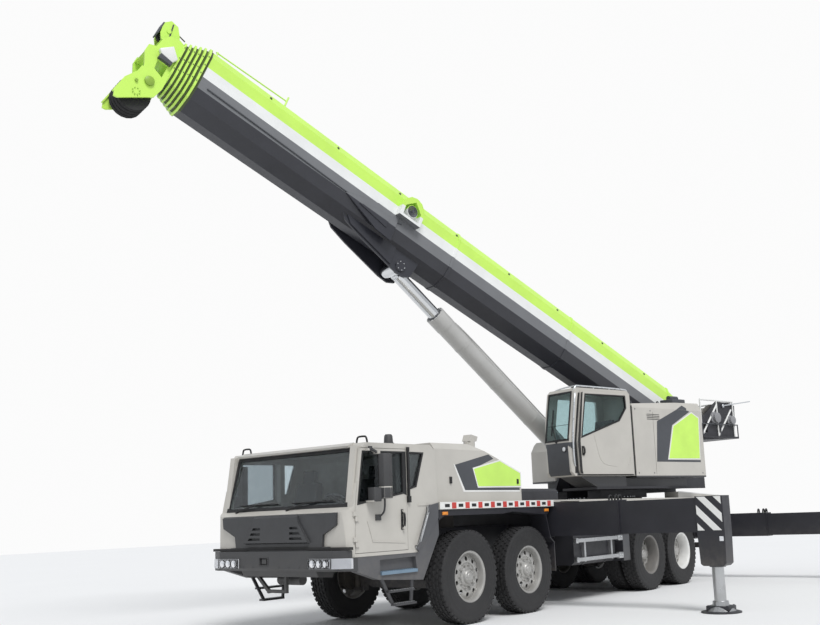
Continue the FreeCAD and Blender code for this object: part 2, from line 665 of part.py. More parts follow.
def interior():
    floor = box(1240, 2340, -1190, 1190, 1150, 1162)
    dash = prism_y([(2120, 1162), (2200, 1560), (2150, 1690), (2230, 1790), (2345, 1700), (2340, 1162)], -1190, 1190)
    seats = []
    for y in (690, -690):
        cushion = prism_y([(1360, 1162), (1340, 1480), (1400, 1560), (1840, 1590), (1880, 1540), (1800, 1162)],
                          y - 240, y + 240)
        rest = prism_y([(1340, 1480), (1230, 2080), (1250, 2150), (1330, 2160), (1370, 2090), (1460, 1560)],
                       y - 230, y + 230)
        head = prism_y([(1235, 2140), (1220, 2330), (1300, 2345), (1325, 2150)], y - 120, y + 120)
        seats.append(join([cushion, rest, head]))
    ring = stepped_y([(-18, 235), (18, 235)], 0, 0, 16).cut(stepped_y([(-20, 200), (20, 200)], 0, 0, 16))
    spokes = box(-205, 205, -10, 10, -22, 22)
    column = stepped_y([(-410, 28), (12, 28)], 0, 0, 8)
    steer = join([ring, spokes, column])
    steer.rotate(V(0, 0, 0), V(1, 0, 0), 90)
    steer.rotate(V(0, 0, 0), V(0, 1, 0), -28)
    steer.translate(V(2010, 690, 1830))
    nodes["cab_interior"] = join([floor, dash, steer] + seats)


def side_rails():
    """side guards between the axle groups and the fold-down steps under the doors"""
    back, front = x3 + tyre_r + 455, front_beam_r - 195
    rails = []
    for z in (740, 1070):
        rails.append(box(back, front, 1300, 1350, z - 32, z + 32))
    posts = [box(x, x + 55, 1236, 1300, 690, 1100) for x in (back + 280, front - 400)]
    guard = join(rails + posts)
    stiles = [prism_y([(1880, 800), (1930, 790), (1700, 420), (1655, 430)], 1300, 1325),
              prism_y([(1250, 790), (1300, 800), (1330, 430), (1290, 420)], 1300, 1325)]
    rungs = [box(1290, 1700, 1290, 1400, 420, 450), box(1300, 1800, 1290, 1380, 600, 626)]
    steps = join(stiles + rungs).cut(skirt_plate())
    nodes["side_rails"] = group(both(guard) + both(steps))


def tanks():
    """fuel and oil tanks, rear locker and the box on the front deck"""
    back, front = x3 + tyre_r + 535, front_beam_r - 275
    tank = prism_x([(560, 700), (620, 640), (1170, 640), (1236, 700), (1236, 1190), (1180, 1240), (560, 1240)],
                   back, front)
    straps = []
    for x in (back + 300, front - 400):
        straps.append(prism_x([(555, 690), (612, 632), (1176, 632), (1236, 695), (1236, 1195), (1184, 1248),
                               (555, 1248)], x, x + 60))
        straps.append(box(x, x + 60, frame_y, 560, 960, 1200))
    panel = box(x3 + tyre_r + 60, x3 + tyre_r + 330, 760, 1300, 620, 1200)
    hold = box(x3 + tyre_r + 180, x3 + tyre_r + 260, frame_y, 765, 1000, 1080)
    locker = prism_x([(560, deck_z), (1290, deck_z), (1290, deck_z + 150), (1240, deck_z + 196), (560, deck_z + 196)],
                     front_beam_l - 145, x2 + 25)
    nodes["tanks"] = group(both(join([tank] + straps)) + both(join([panel, hold])) + [locker])


# Upper works

def upper_frame():
    ring = stepped_z([(ring_z0 + seat, ring_r - 40), (ring_z1, ring_r - 40)], 0, 0, 32)
    ring = ring.cut(stepped_z([(ring_z0, ring_r - 160), (ring_z1 + 5, ring_r - 160)], 0, 0, 32))
    post = cyl_z(70, 0, 0, ring_z0 + seat, ring_z1 + 60)
    bridge = box(-700, 700, -70, 70, ring_z1 - 12, ring_z1 + 12)
    skirts = both(box(-720, 720, slot_y, plate_y + 140, ring_z1 - 10, floor_z0 + 5))
    tail = box(-1900, -600, -plate_y, plate_y, floor_z0 - 60, floor_z1)
    floor = box(-720, 1450, -1240, 1240, floor_z0, floor_z1)
    floor = floor.cut(box(-620, 1600, -slot_y, slot_y, floor_z0 - 5, floor_z1 + 5))
    wings = both(box(-1800, -700, plate_y, 1000, floor_z0, floor_z1))
    outline = [(-2980, 2000), (-2980, ledge_z - 90), (ledge_back + 60, ledge_z - 20), (ledge_back, 3960),
               (ledge_back + 150, 4020), (-3700, 4040), (-2980, 3560), (-2600, 3560), (-2300, 3520),
               (-2150, 3300), (-300, 2700), (640, 2560), (900, 2000)]
    plate = prism_y(outline, plate_y - plate_t, plate_y)
    window = prism_y([(-3040, ledge_z + 90), (-3040, 3440), (-3260, 3560), (-3260, ledge_z + 90)], 0, 900)
    hole = prism_y([(-1900, 2250), (-700, 2250), (-900, 2700), (-1900, 2950)], 0, 900)
    plates = both(plate.cut(window).cut(hole))
    rim = both(prism_y([(-1960, 2190), (-640, 2190), (-850, 2740), (-1960, 3030)], plate_y - 5, plate_y + 25).cut(hole))
    bosses = both(stepped_y([(eye_half + seat, 130), (plate_y + 30, 130)], foot_pin_x, foot_pin_z, 14))
    ledge = box(ledge_back, -3000, -plate_y - 60, plate_y + 60, ledge_z - 34, ledge_z + 8)
    pin = stepped_y([(-plate_y - 30, boom_pin_r), (plate_y + 30, boom_pin_r)], pivot_x, pivot_z, 16)
    ends = both(stepped_y([(plate_y + 25, 165), (plate_y + 55, 150)], pivot_x, pivot_z, 16))
    ballast = box(-2300, -1100, -plate_y + 5, plate_y - 5, floor_z1 - 5, 2380)
    spindles = [stepped_y([(-plate_y - 20, 40), (plate_y + 20, 40)], x, z, 10)
                for x, z in ((winch_main_x, winch_main_z), (winch_aux_x, winch_aux_z))]
    body = join([ring, post, bridge, floor, tail] + skirts + wings + bosses + plates + rim + [ledge])
    body = join([body, pin, ballast] + ends + spindles)
    nodes["upper_frame"] = to_upper(body)


def side_housings():
    """grey bodies either side of the boom's foot, with a louvre"""
    top = 3820
    left = prism_y([(380, house_z), (380, 3690), (340, 3715), (-1100, 3800), (house_back, top),
                    (house_back, house_z)], house_y, upper_y)
    left = left.common(prism_x([(house_y, house_z), (upper_y, house_z), (upper_y, 3640), (upper_y - 60, 3790),
                                (upper_y - 90, top + 5), (house_y, top + 5)], house_back, 380))
    for i in range(4):
        z = 3500 - 34 * i
        left = left.cut(prism_y([(-60, z), (-470, z), (-470, z + 16), (-60, z + 16)], upper_y - 16, upper_y + 5))
    seam = prism_y([(-250, house_z + 60), (-250, 3560), (-262, 3560), (-262, house_z + 60)],
                   upper_y - 8, upper_y + 5)
    left = left.cut(seam)
    right = prism_y([(700, house_z), (700, 2900), (560, 3120), (-1500, 3200), (house_back, 3200),
                     (house_back, house_z)], -upper_y, -house_y)
    right = right.common(prism_x([(-house_y, house_z), (-upper_y, house_z), (-upper_y, 3060),
                                  (-upper_y + 90, 3205), (-house_y, 3205)], house_back, 700))
    for i in range(8):
        z = 2500 + 60 * i
        right = right.cut(prism_y([(-300, z), (-1300, z), (-1300, z + 26), (-300, z + 26)],
                                  -upper_y - 5, -upper_y + 20))
    feet = [box(-1700, 300, 700, 980, floor_z1, house_z + 5), box(-1700, 600, -980, -700, floor_z1, house_z + 5)]
    nodes["side_housings"] = to_upper(group([join([left, feet[0]]), join([right, feet[1]])]))


def winches():
    """name, place, drum radius and half width"""
    for name, x, z, r in (("winch_main", winch_main_x, winch_main_z, winch_r),
                          ("winch_aux", winch_aux_x, winch_aux_z, winch_aux_r)):
        half = plate_y - plate_t - 12
        drum = stepped_y([(-half, r), (-half + 24, r), (-half + 24.5, r * 0.72), (half - 24.5, r * 0.72),
                          (half - 24, r), (half, r)], x, z, 20)
        nodes[name] = to_upper(drum.cut(cyl_y(40 + seat, x, -half - 5, half + 5, z)))


cabin_profile = [(440, 2245), (2150, 2245), (2212, 2330), (2236, 2900), (2062, 3880), (1985, 3950), (520, 3958),
                 (440, 3890)]
cabin_inside = [(485, 2290), (2120, 2290), (2166, 2350), (2190, 2900), (2018, 3860), (1965, 3905), (540, 3912),
                (485, 3860)]


def cabin_plan(y0, y1, x_front, r):
    solid = box(300, x_front, y0, y1, 2200, 4000)
    edges = [e for e in solid.Edges if e.BoundBox.ZLength > 100 and e.BoundBox.XMin > x_front - 1]
    return solid.makeFillet(r, edges)


def cabin_screen(e):
    return [(cab_y0 + 70 - e, 2945 - e), (upper_y - 80 + e, 2945 - e), (upper_y - 80 + e, 3850 + e),
            (cab_y0 + 70 - e, 3850 + e)]


def cabin_side(e):
    return [(1960 + e, 2990 - e), (1800 + e, 3815 + e), (650 - e, 3830 + e), (640 - e, 3600), (860 - e, 3340 - e)]


def inner_side(e):
    return [(1960 + e, 2960 - e), (1810 + e, 3800 + e), (700 - e, 3800 + e), (700 - e, 2960 - e)]


def roof_light(e):
    return [(900 - e, cab_y0 + 110 - e), (1700 + e, cab_y0 + 110 - e), (1700 + e, upper_y - 110 + e),
            (900 - e, upper_y - 110 + e)]


def operator_cab():
    y0, y1 = cab_y0, upper_y
    outer = cabin_plan(y0, y1, 2236, 110)
    shell = prism_y(cabin_profile, y0, y1).common(outer)
    shell = shell.cut(prism_y(cabin_inside, y0 + 45, y1 - 45).common(cabin_plan(y0 + 45, y1 - 45, 2190, 65)))
    shell = shell.cut(prism_x(cabin_screen(0), 1850, 2400))
    shell = shell.cut(prism_y([(560, 2330), (2030, 2330), (2040, 2900), (1860, 3850), (600, 3860), (560, 3600)],
                              y1 - 60, y1 + 5))
    shell = shell.cut(prism_y(inner_side(0), y0 - 5, y0 + 60))
    shell = shell.cut(prism_z(roof_light(0), 3880, 4000))
    base = prism_y([(560, floor_z1), (1440, floor_z1), (1900, 2246), (560, 2246)], y0 + 70, y1 - 130)
    track = box(500, 1880, y1 - 5, y1 + door_gap - seat, 3862, 3880)
    nodes["operator_cab"] = to_upper(join([shell, base, track]))
    s0, s1 = y1 + door_gap, y1 + door_gap + 40
    door = prism_y([(500, 2275), (2040, 2275), (2066, 2330), (2084, 2900), (1915, 3850), (1880, 3885),
                    (570, 3892), (500, 3820)], s0, s1)
    door = door.cut(prism_y(cabin_side(0), s0 - 5, s1 + 5))
    handle = join([box(1930, 1980, s1 - 5, s1 + 14, 2640, 2800)] +
                  bar([(1955, 2660), (1955, 2780)], 12, s1 + 8, s1 + 36))
    nodes["operator_door"] = to_upper(join([door, handle]))
    nodes["operator_door_glass"] = to_upper(prism_y(cabin_side(-0.4), s0 + 12, s0 + 20))
    ax, az, bx, bz = 2236.0, 2900.0, 2062.0, 3880.0
    length = math.hypot(bx - ax, bz - az)
    nx, nz = (bz - az) / length, (ax - bx) / length
    slab = prism_y([(ax - nx * 12, az - nz * 12), (bx - nx * 12, bz - nz * 12), (bx - nx * 20, bz - nz * 20),
                    (ax - nx * 20, az - nz * 20)], y0, y1)
    panes = [slab.common(prism_x(cabin_screen(-0.4), 1850, 2400)),
             prism_y(inner_side(-0.4), y0 + 16, y0 + 24), prism_z(roof_light(-0.4), 3926, 3934)]
    nodes["operator_glass"] = to_upper(group(panes))
    yc = (y0 + y1) / 2.0
    cushion = prism_y([(860, 2290.4), (880, 2640), (920, 2720), (1400, 2760), (1440, 2700), (1380, 2290.4)],
                      yc - 230, yc + 230)
    rest = prism_y([(880, 2640), (760, 3300), (790, 3370), (870, 3370), (990, 2720)], yc - 220, yc + 220)
    arms = [prism_y([(950, 2800), (1480, 2840), (1500, 2900), (960, 2880)], yc + a, yc + b)
            for a, b in ((-290, -225), (225, 290))]
    pods = [box(960, 1120, yc + a, yc + b, 2660, 2820) for a, b in ((-285, -200), (200, 285))]
    console = prism_y([(1780, 2290.4), (1900, 2700), (1860, 2980), (1950, 2990), (2010, 2700), (1990, 2290.4)],
                      y0 + 120, y0 + 330)
    nodes["operator_seat"] = to_upper(group([join([cushion, rest] + arms + pods), console]))


# Boom

def tube_outline(hw, flat, b, a, t, crown):
    """near half of the section from bottom to top, then mirrored"""
    side = [(flat, b), (hw * 0.82, (a - b) * 0.46 + b), (hw, a), (hw, t - 150), (crown, t)]
    return side + [(-y, z) for y, z in reversed(side)]


def tube(s0, s1, hw, flat, b, a, t, crown, wall_t):
    """hollow boom section between two stations"""
    outer = prism_x(tube_outline(hw, flat, b, a, t, crown), s0, s1)
    w = wall_t
    inner = prism_x(tube_outline(hw - w, flat - w * 0.3, b + w, a + w * 0.2, t - w, crown - w * 0.6), s0 - 5, s1 + 5)
    return outer.cut(inner)


def section(n):
    d = step_in * n
    return boom_hw - d, boom_flat - d * 0.35, boom_b + d, boom_a + d * 0.25, boom_t - d, boom_crown - d * 0.7


def grown(n, g):
    hw, flat, b, a, t, crown = section(n)
    return hw + g, flat + g * 0.3, b - g, a - g * 0.2, t + g, crown + g * 0.6


def boom():
    base = tube(-260, boom_len, *section(0), tube_wall)
    hw, flat, b, a, t, crown = section(0)
    base = base.cut(prism_y([(-400, 300), (-400, 1000), (900, 1000), (820, t)], -600, 600))
    base = base.cut(prism_y([(-400, -300), (-400, -700), (500, -700), (430, b)], -600, 600))
    foot = stepped_y([(-hw, 230), (hw, 230)], 0, 0, 24)
    base = join([base, foot]).cut(cyl_y(boom_pin_r + seat, 0, -600, 600, 0))
    lug = prism_y([(9750, -260), (9600, -400), (9250, -505), (8370, -700), (8150, -715), (8000, -640),
                   (7900, -260)], lug_y, lug_y + lug_plate_t)
    rib = prism_y([(9650, -260), (9500, -410), (8480, -640), (8480, -260)], lug_y + lug_plate_t - 2,
                  lug_y + lug_plate_t + 24)
    inside = prism_x(tube_outline(hw - 6, flat - 2, b + 6, a + 1, t - 6, crown - 4), 7700, 10400)
    lugs = [piece.cut(inside) for piece in both(lug) + both(rib)]
    ends = both(stepped_y([(lug_y + lug_plate_t - 4, 118), (lug_y + lug_plate_t + 30, 104)], lug_s, lug_t, 16))
    pin = cyl_y(lug_pin_r, lug_s, -lug_y - 5, lug_y + 5, lug_t)
    saddle = prism_y([(9880, -30), (9200, 185), (8720, 185), (8720, -330), (9080, -300)], hw - 4, hw + 26)
    saddle = saddle.fuse(prism_y([(9560, -60), (9200, 60), (8900, 60), (8900, -160)], hw + 20, hw + 40))
    collar = tube(boom_len - 10, boom_len + ring_t, *grown(0, 24), step_in + 24 - seat)
    bands = [tube(s, s + 60, *grown(0, 12), 20) for s in (700, 4000, 7300)]
    reel = []
    for i in range(7):
        a0 = math.pi * i / 6.0
        reel.append((8560 + 250 * math.cos(a0), 420 + 260 * math.sin(a0)))
    guide = prism_y(reel + [(8310, 190), (8810, 190)], hw - 5, hw + 150)
    guide = guide.cut(prism_y([(8380, 240), (8380, 430), (8560, 600), (8740, 430), (8740, 240)], hw + 40, hw + 160))
    spool = stepped_y([(hw + 35, 120), (hw + 130, 120)], 8560, 400, 16)
    base = join([base] + lugs + ends + both(saddle) + [pin, collar, guide, spool] + bands)
    nodes["boom_base"] = to_boom(base)
    for n in range(1, 6):
        tip = boom_len + ring_t + 6 + ring_step * n
        root = 600 + 120 * n
        shape = tube(root, tip, *section(n), tube_wall - 4)
        ring = tube(tip - ring_t, tip, *grown(n, 22), step_in + 22 - seat)
        shape = join([shape, ring])
        if n == 5:
            shape = join([shape] + head_plates(tip))
        nodes["boom_%d" % n] = to_boom(shape)


def boom_tip():
    return boom_len + ring_t + 6 + ring_step * 5


def head_plates(tip):
    """cheeks that carry the lower sheaves, the top bracket and the guide pulley"""
    hw, flat, b, a, t, crown = section(5)
    cap = prism_x(tube_outline(hw - 3, flat - 1, b + 3, a + 1, t - 3, crown - 2), tip - 30, tip - 5)
    outline = [(tip - 20, 560), (tip + 90, 600), (tip + 250, 560), (tip + 330, 430), (tip + 360, 250),
               (tip + 470, 200), (tip + 480, 60), (tip + 380, -180), (tip + 400, -330), (tip + 520, -560),
               (tip + 575, -860), (tip + 550, -940), (tip + 490, -930), (tip + 30, -560), (tip - 20, -360)]
    cheek = prism_y(outline, hw - 42, hw - 12)
    window = prism_y([(tip + 70, 60), (tip + 250, 60), (tip + 230, -120), (tip + 70, -180)], 0, hw)
    cheek = cheek.cut(window)
    flange = prism_y([(tip + 380, -200), (tip + 400, -330), (tip + 520, -560), (tip + 575, -860),
                      (tip + 600, -860), (tip + 545, -550), (tip + 425, -325), (tip + 405, -195)],
                     -hw + 12, -hw + 70)
    floor = prism_y([(tip - 10, 130), (tip + 450, 130), (tip + 470, 90), (tip - 10, 90)], -hw + 40, hw - 40)
    web = prism_y([(tip - 10, 300), (tip + 25, 300), (tip + 25, -330), (tip - 10, -330)], -hw + 40, hw - 40)
    bracket = prism_y([(tip - 10, 480), (tip + 110, 740), (tip + 200, 880), (tip + 330, 900), (tip + 420, 790),
                       (tip + 400, 600), (tip + 330, 480)], 122, 146)
    spread = prism_y([(tip - 10, 470), (tip + 340, 470), (tip + 340, 440), (tip - 10, 440)], -hw + 40, hw - 40)
    pins = [stepped_y([(-hw + 8, 45), (hw - 8, 45)], tip + low_sheave_s, low_sheave_t, 12),
            stepped_y([(-160, 40), (160, 40)], tip + top_sheave_s, top_sheave_t, 10)]
    pulley = stepped_y([(hw - 14, 100), (hw + 22, 100), (hw + 30, 84)], tip + 140, 200, 16)
    return [cap, floor, web, spread, flange, mirrored(flange), pulley] + both(cheek) + both(bracket) + pins


def sheave_set(count, pitch, r, s, t, bore):
    """grooved sheaves side by side on one hub"""
    reach = pitch * (count - 1) / 2.0
    half = pitch * 0.38
    stations = [(-reach - half, r)]
    for i in range(count):
        y = -reach + pitch * i
        stations += [(y - half, r), (y, r - 34), (y + half, r)]
        if i < count - 1:
            stations += [(y + half + 0.5, r * 0.4), (y + pitch - half - 0.5, r * 0.4)]
    clean = stations[1:]
    return stepped_y(clean, s, t, 20).cut(cyl_y(bore, s, -400, 400, t))


def sheaves():
    tip = boom_tip()
    nodes["sheaves_low"] = to_boom(sheave_set(4, 96, low_sheave_r, tip + low_sheave_s, low_sheave_t, 45 + seat))
    nodes["sheaves_top"] = to_boom(sheave_set(2, 104, top_sheave_r, tip + top_sheave_s, top_sheave_t, 40 + seat))


def pin_place():
    a = math.radians(luff_deg)
    x = pivot_x + lug_s * math.cos(a) - lug_t * math.sin(a)
    z = pivot_z + lug_s * math.sin(a) + lug_t * math.cos(a)
    return x, z


def lift_cylinder():
    px, pz = pin_place()
    length = math.hypot(px - foot_pin_x, pz - foot_pin_z)
    angle = math.degrees(math.atan2(pz - foot_pin_z, px - foot_pin_x))
    neck = barrel_r + 8
    base = eye_r + 20
    outline = [(base, 0), (base, barrel_r), (barrel_len - 320, barrel_r), (barrel_len - 320, neck),
               (barrel_len, neck), (barrel_len, rod_r + 0.5), (base + 160, rod_r + 0.5), (base + 160, 0)]
    wire = Part.makePolygon([V(x, 0, r) for x, r in outline] + [V(base, 0, 0)])
    barrel = Part.Face(wire).revolve(V(0, 0, 0), V(1, 0, 0), 360)
    pipe = prism_x([(-22, barrel_r - 12), (22, barrel_r - 12), (22, barrel_r + 34), (-22, barrel_r + 34)],
                   600, barrel_len - 325)
    block = prism_x([(-70, barrel_r - 20), (70, barrel_r - 20), (70, barrel_r + 60), (-70, barrel_r + 60)], 430, 640)
    shank = box(0, base + 1, 10 - eye_half, eye_half - 10, -eye_r * 0.7, eye_r * 0.7)
    barrel = join([barrel, pipe, block, shank, cyl_y(eye_r, 0, -eye_half, eye_half, 0)])
    rod = cyl_x(rod_r, rod_tail, length - base, 0, 0)
    head = box(length - base - 1, length, 20 - rod_r, rod_r - 20, -eye_r * 0.6, eye_r * 0.6)
    rod_eye = cyl_y(eye_r, length, -eye_half + 10, eye_half - 10, 0)
    rod = join([rod, head, rod_eye]).cut(cyl_y(lug_pin_r + 0.5, length, -300, 300, 0))
    for name, shape in (("lift_barrel", barrel), ("lift_rod", rod)):
        shape.rotate(V(0, 0, 0), V(0, 1, 0), -angle)
        shape.translate(V(foot_pin_x, 0, foot_pin_z))
        nodes[name] = to_upper(shape)


on_wheels = ("wheel_", "axles", "knuckle_")


def main():
    wheels()
    axles()
    knuckles()
    chassis()
    engine()
    outriggers()
    deck_and_hood()
    fenders()
    carrier_cab()
    cab_glass()
    cab_skirts()
    front_bumper()
    lamps()
    interior()
    side_rails()
    tanks()
    upper_frame()
    side_housings()
    winches()
    operator_cab()
    boom()
    sheaves()
    lift_cylinder()
    whole = FreeCAD.BoundBox()
    for name, shape in nodes.items():
        lift = 0.0 if name.startswith(on_wheels) else body_lift
        shape.translate(V(shift_x, shift_y, lift))
        whole.add(shape.BoundBox)
        if not shape.isValid():
            print("not valid:", name)
        shape.exportStep("parts/%s.step" % name)
    print("nodes", len(nodes), "box", whole)


main()
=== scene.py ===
import bpy
import bmesh
import math
from mathutils import Matrix, Vector


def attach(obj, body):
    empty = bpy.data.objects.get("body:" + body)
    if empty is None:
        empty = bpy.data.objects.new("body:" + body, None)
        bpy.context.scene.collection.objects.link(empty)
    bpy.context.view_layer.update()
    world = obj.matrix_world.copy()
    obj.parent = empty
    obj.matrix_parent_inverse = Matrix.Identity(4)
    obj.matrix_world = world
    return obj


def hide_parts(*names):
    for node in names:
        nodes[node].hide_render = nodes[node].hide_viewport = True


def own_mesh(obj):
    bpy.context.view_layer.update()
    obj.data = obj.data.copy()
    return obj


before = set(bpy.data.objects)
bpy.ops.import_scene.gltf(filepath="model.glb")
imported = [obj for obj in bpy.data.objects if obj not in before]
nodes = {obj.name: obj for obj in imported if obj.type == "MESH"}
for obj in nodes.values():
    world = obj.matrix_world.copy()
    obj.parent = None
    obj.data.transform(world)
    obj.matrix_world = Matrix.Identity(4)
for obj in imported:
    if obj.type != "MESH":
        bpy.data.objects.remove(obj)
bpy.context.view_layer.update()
scene = bpy.context.scene
scene.view_settings.view_transform = "Standard"

# frames of the three groups: carrier (axle 1 at x 0), slewing upper works, boom
carrier = Matrix.Translation((3.4971, 0, 0))
upper = carrier @ Matrix.Translation((-6.5, 0, 0)) @ Matrix.Rotation(math.radians(-13), 4, "Z")
boom = upper @ Matrix.Translation((-2.45, 0, 3.30)) @ Matrix.Rotation(math.radians(-24), 4, "Y")
boomUp = boom.to_3x3() @ Vector((0, 0, 1))
boomOut = boom.to_3x3() @ Vector((1, 0, 0))
boomRoot = boom.translation


# finishes

def newFinish(name):
    finish = bpy.data.materials.new(name)
    finish.use_nodes = True
    tree = finish.node_tree
    return finish, tree, tree.nodes["Principled BSDF"]


def addNode(tree, kind, **settings):
    node = tree.nodes.new(kind)
    for key, value in settings.items():
        if key in node.inputs:
            node.inputs[key].default_value = value
        else:
            setattr(node, key, value)
    return node


def noiseOn(tree, coords, scale, detail=3.0, rough=0.6):
    noise = addNode(tree, "ShaderNodeTexNoise", Scale=scale, Detail=detail, Roughness=rough)
    tree.links.new(coords, noise.inputs["Vector"])
    return noise.outputs["Fac"]


def ranged(tree, source, low, high, toLow, toHigh, smooth=True):
    node = tree.nodes.new("ShaderNodeMapRange")
    node.interpolation_type = "SMOOTHSTEP" if smooth else "LINEAR"
    for key, value in (("From Min", low), ("From Max", high), ("To Min", toLow), ("To Max", toHigh)):
        node.inputs[key].default_value = value
    tree.links.new(source, node.inputs["Value"])
    return node.outputs["Result"]


def mathOf(tree, kind, a, b=None):
    node = tree.nodes.new("ShaderNodeMath")
    node.operation = kind
    for slot, value in ((0, a), (1, b)):
        if value is None:
            continue
        if isinstance(value, (int, float)):
            node.inputs[slot].default_value = value
        else:
            tree.links.new(value, node.inputs[slot])
    return node.outputs[0]


def mixed(tree, fac, a, b):
    node = tree.nodes.new("ShaderNodeMix")
    node.data_type = "RGBA"
    for slot, value in ((0, fac), (6, a), (7, b)):
        if isinstance(value, (tuple, list)):
            node.inputs[slot].default_value = (*value[:3], 1)
        elif isinstance(value, (int, float)):
            node.inputs[slot].default_value = value
        else:
            tree.links.new(value, node.inputs[slot])
    return node.outputs[2]


def shaded(colour, by):
    return tuple(min(1.0, c * by) for c in colour)


def paintFinish(name, colour, gloss=0.4, metal=0.0, vary=0.10, grain=0.02, grainScale=260.0, dust=0.35,
                dustTop=1.7, edge=0.35, edgeTone=1.5, edgeWidth=0.006, coat=0.0, dustColour=(0.30, 0.27, 0.23)):
    # paint or metal with soft mottling, road dust low down, lighter worn edges and a fine surface
    finish, tree, shader = newFinish(name)
    coords = tree.nodes.new("ShaderNodeTexCoord").outputs["Object"]
    cloud = noiseOn(tree, coords, 1.7, 4.0)
    streak = noiseOn(tree, coords, 9.0, 5.0, 0.7)
    base = mixed(tree, ranged(tree, cloud, 0.3, 0.7, 0, 1), shaded(colour, 1 - vary), shaded(colour, 1 + vary * 0.6))
    split = tree.nodes.new("ShaderNodeSeparateXYZ")
    tree.links.new(coords, split.inputs[0])
    low = ranged(tree, split.outputs["Z"], 0.0, dustTop, dust, 0.0)
    dusty = mathOf(tree, "MULTIPLY", low, ranged(tree, streak, 0.35, 0.7, 0.35, 1.0))
    base = mixed(tree, dusty, base, dustColour)
    rounded = addNode(tree, "ShaderNodeBevel", samples=4, Radius=edgeWidth)
    flat = tree.nodes.new("ShaderNodeNewGeometry")
    dot = tree.nodes.new("ShaderNodeVectorMath")
    dot.operation = "DOT_PRODUCT"
    tree.links.new(rounded.outputs[0], dot.inputs[0])
    tree.links.new(flat.outputs["Normal"], dot.inputs[1])
    rim = ranged(tree, dot.outputs["Value"], 0.86, 0.995, 1.0, 0.0)
    worn = mathOf(tree, "MULTIPLY", mathOf(tree, "MULTIPLY", rim, edge), ranged(tree, streak, 0.4, 0.6, 0.3, 1.0))
    base = mixed(tree, worn, base, shaded(colour, edgeTone))
    tree.links.new(base, shader.inputs["Base Color"])
    tree.links.new(ranged(tree, streak, 0.25, 0.75, gloss * 0.85, min(1.0, gloss * 1.2)), shader.inputs["Roughness"])
    shader.inputs["Metallic"].default_value = metal
    shader.inputs["Coat Weight"].default_value = coat
    shader.inputs["Coat Roughness"].default_value = 0.12
    bump = addNode(tree, "ShaderNodeBump", Strength=grain, Distance=0.004)
    tree.links.new(noiseOn(tree, coords, grainScale, 2.0), bump.inputs["Height"])
    tree.links.new(rounded.outputs[0], bump.inputs["Normal"])
    tree.links.new(bump.outputs[0], shader.inputs["Normal"])
    return finish


def glassFinish(name, colour, gloss=0.03, through=1.0, film=0.35, bend=1.3):
    # tinted pane with a faint film of dust
    finish, tree, shader = newFinish(name)
    coords = tree.nodes.new("ShaderNodeTexCoord").outputs["Object"]
    haze = noiseOn(tree, coords, 14.0, 5.0, 0.7)
    tree.links.new(mixed(tree, ranged(tree, haze, 0.45, 0.8, 0, film), colour, shaded(colour, 1.25)),
                   shader.inputs["Base Color"])
    tree.links.new(ranged(tree, haze, 0.4, 0.8, gloss, gloss + 0.06), shader.inputs["Roughness"])
    shader.inputs["Transmission Weight"].default_value = through
    shader.inputs["IOR"].default_value = bend
    bump = addNode(tree, "ShaderNodeBump", Strength=0.02, Distance=0.002)
    tree.links.new(noiseOn(tree, coords, 3.0, 1.0), bump.inputs["Height"])
    tree.links.new(bump.outputs[0], shader.inputs["Normal"])
    return finish


def boomFinish(name, dark, pale, stripe, bright, levels, ringFrom):
    # painted boom: dark sides, a pale band, a white stripe and a bright top, by height on the boom
    finish = paintFinish(name, dark, 0.38, vary=0.12, dust=0.0, edge=0.25, coat=0.2)
    tree = finish.node_tree
    shader = tree.nodes["Principled BSDF"]
    old = shader.inputs["Base Color"].links[0].from_socket
    coords = [n for n in tree.nodes if n.type == "TEX_COORD"][0].outputs["Object"]
    shift = tree.nodes.new("ShaderNodeVectorMath")
    shift.operation = "SUBTRACT"
    tree.links.new(coords, shift.inputs[0])
    shift.inputs[1].default_value = boomRoot
    along = tree.nodes.new("ShaderNodeVectorMath")
    along.operation = "DOT_PRODUCT"
    tree.links.new(shift.outputs[0], along.inputs[0])
    along.inputs[1].default_value = boomUp
    height = along.outputs["Value"]
    wander = noiseOn(tree, coords, 2.3, 4.0)
    colour = old
    for level, tone in zip(levels, (pale, stripe, bright)):
        gate = ranged(tree, height, level - 0.002, level + 0.002, 0, 1, False)
        mottled = mixed(tree, ranged(tree, wander, 0.3, 0.7, 0, 1), shaded(tone, 0.93), tone)
        colour = mixed(tree, gate, colour, mottled)
    # bright ring at the end of the section, with painted shadow on the recessed gap before it
    reach = tree.nodes.new("ShaderNodeVectorMath")
    reach.operation = "DOT_PRODUCT"
    tree.links.new(shift.outputs[0], reach.inputs[0])
    reach.inputs[1].default_value = boomOut
    # painted shadow: a near-black lime line on the recessed gap just before each ring
    grooveShadowPainted = ranged(tree, reach.outputs["Value"], ringFrom - 0.044, ringFrom - 0.042, 0, 1, False)
    colour = mixed(tree, grooveShadowPainted, colour, shaded(bright, 0.10))
    ring = ranged(tree, reach.outputs["Value"], ringFrom - 0.0015, ringFrom, 0, 1, False)
    colour = mixed(tree, ring, colour, bright)
    tree.links.new(colour, shader.inputs["Base Color"])
    return finish


def zonedFinish(name, base, zones, **more):
    # paint whose colour changes past given places: (axis, place, beyond, colour)
    finish = paintFinish(name, base, **more)
    tree = finish.node_tree
    shader = tree.nodes["Principled BSDF"]
    colour = shader.inputs["Base Color"].links[0].from_socket
    coords = [n for n in tree.nodes if n.type == "TEX_COORD"][0].outputs["Object"]
    split = tree.nodes.new("ShaderNodeSeparateXYZ")
    tree.links.new(coords, split.inputs[0])
    for axis, low, high, tone in zones:
        value = split.outputs[axis]
        gate = mathOf(tree, "MULTIPLY", mathOf(tree, "GREATER_THAN", value, low), mathOf(tree, "LESS_THAN", value, high))
        colour = mixed(tree, gate, colour, tone)
    tree.links.new(colour, shader.inputs["Base Color"])
    return finish


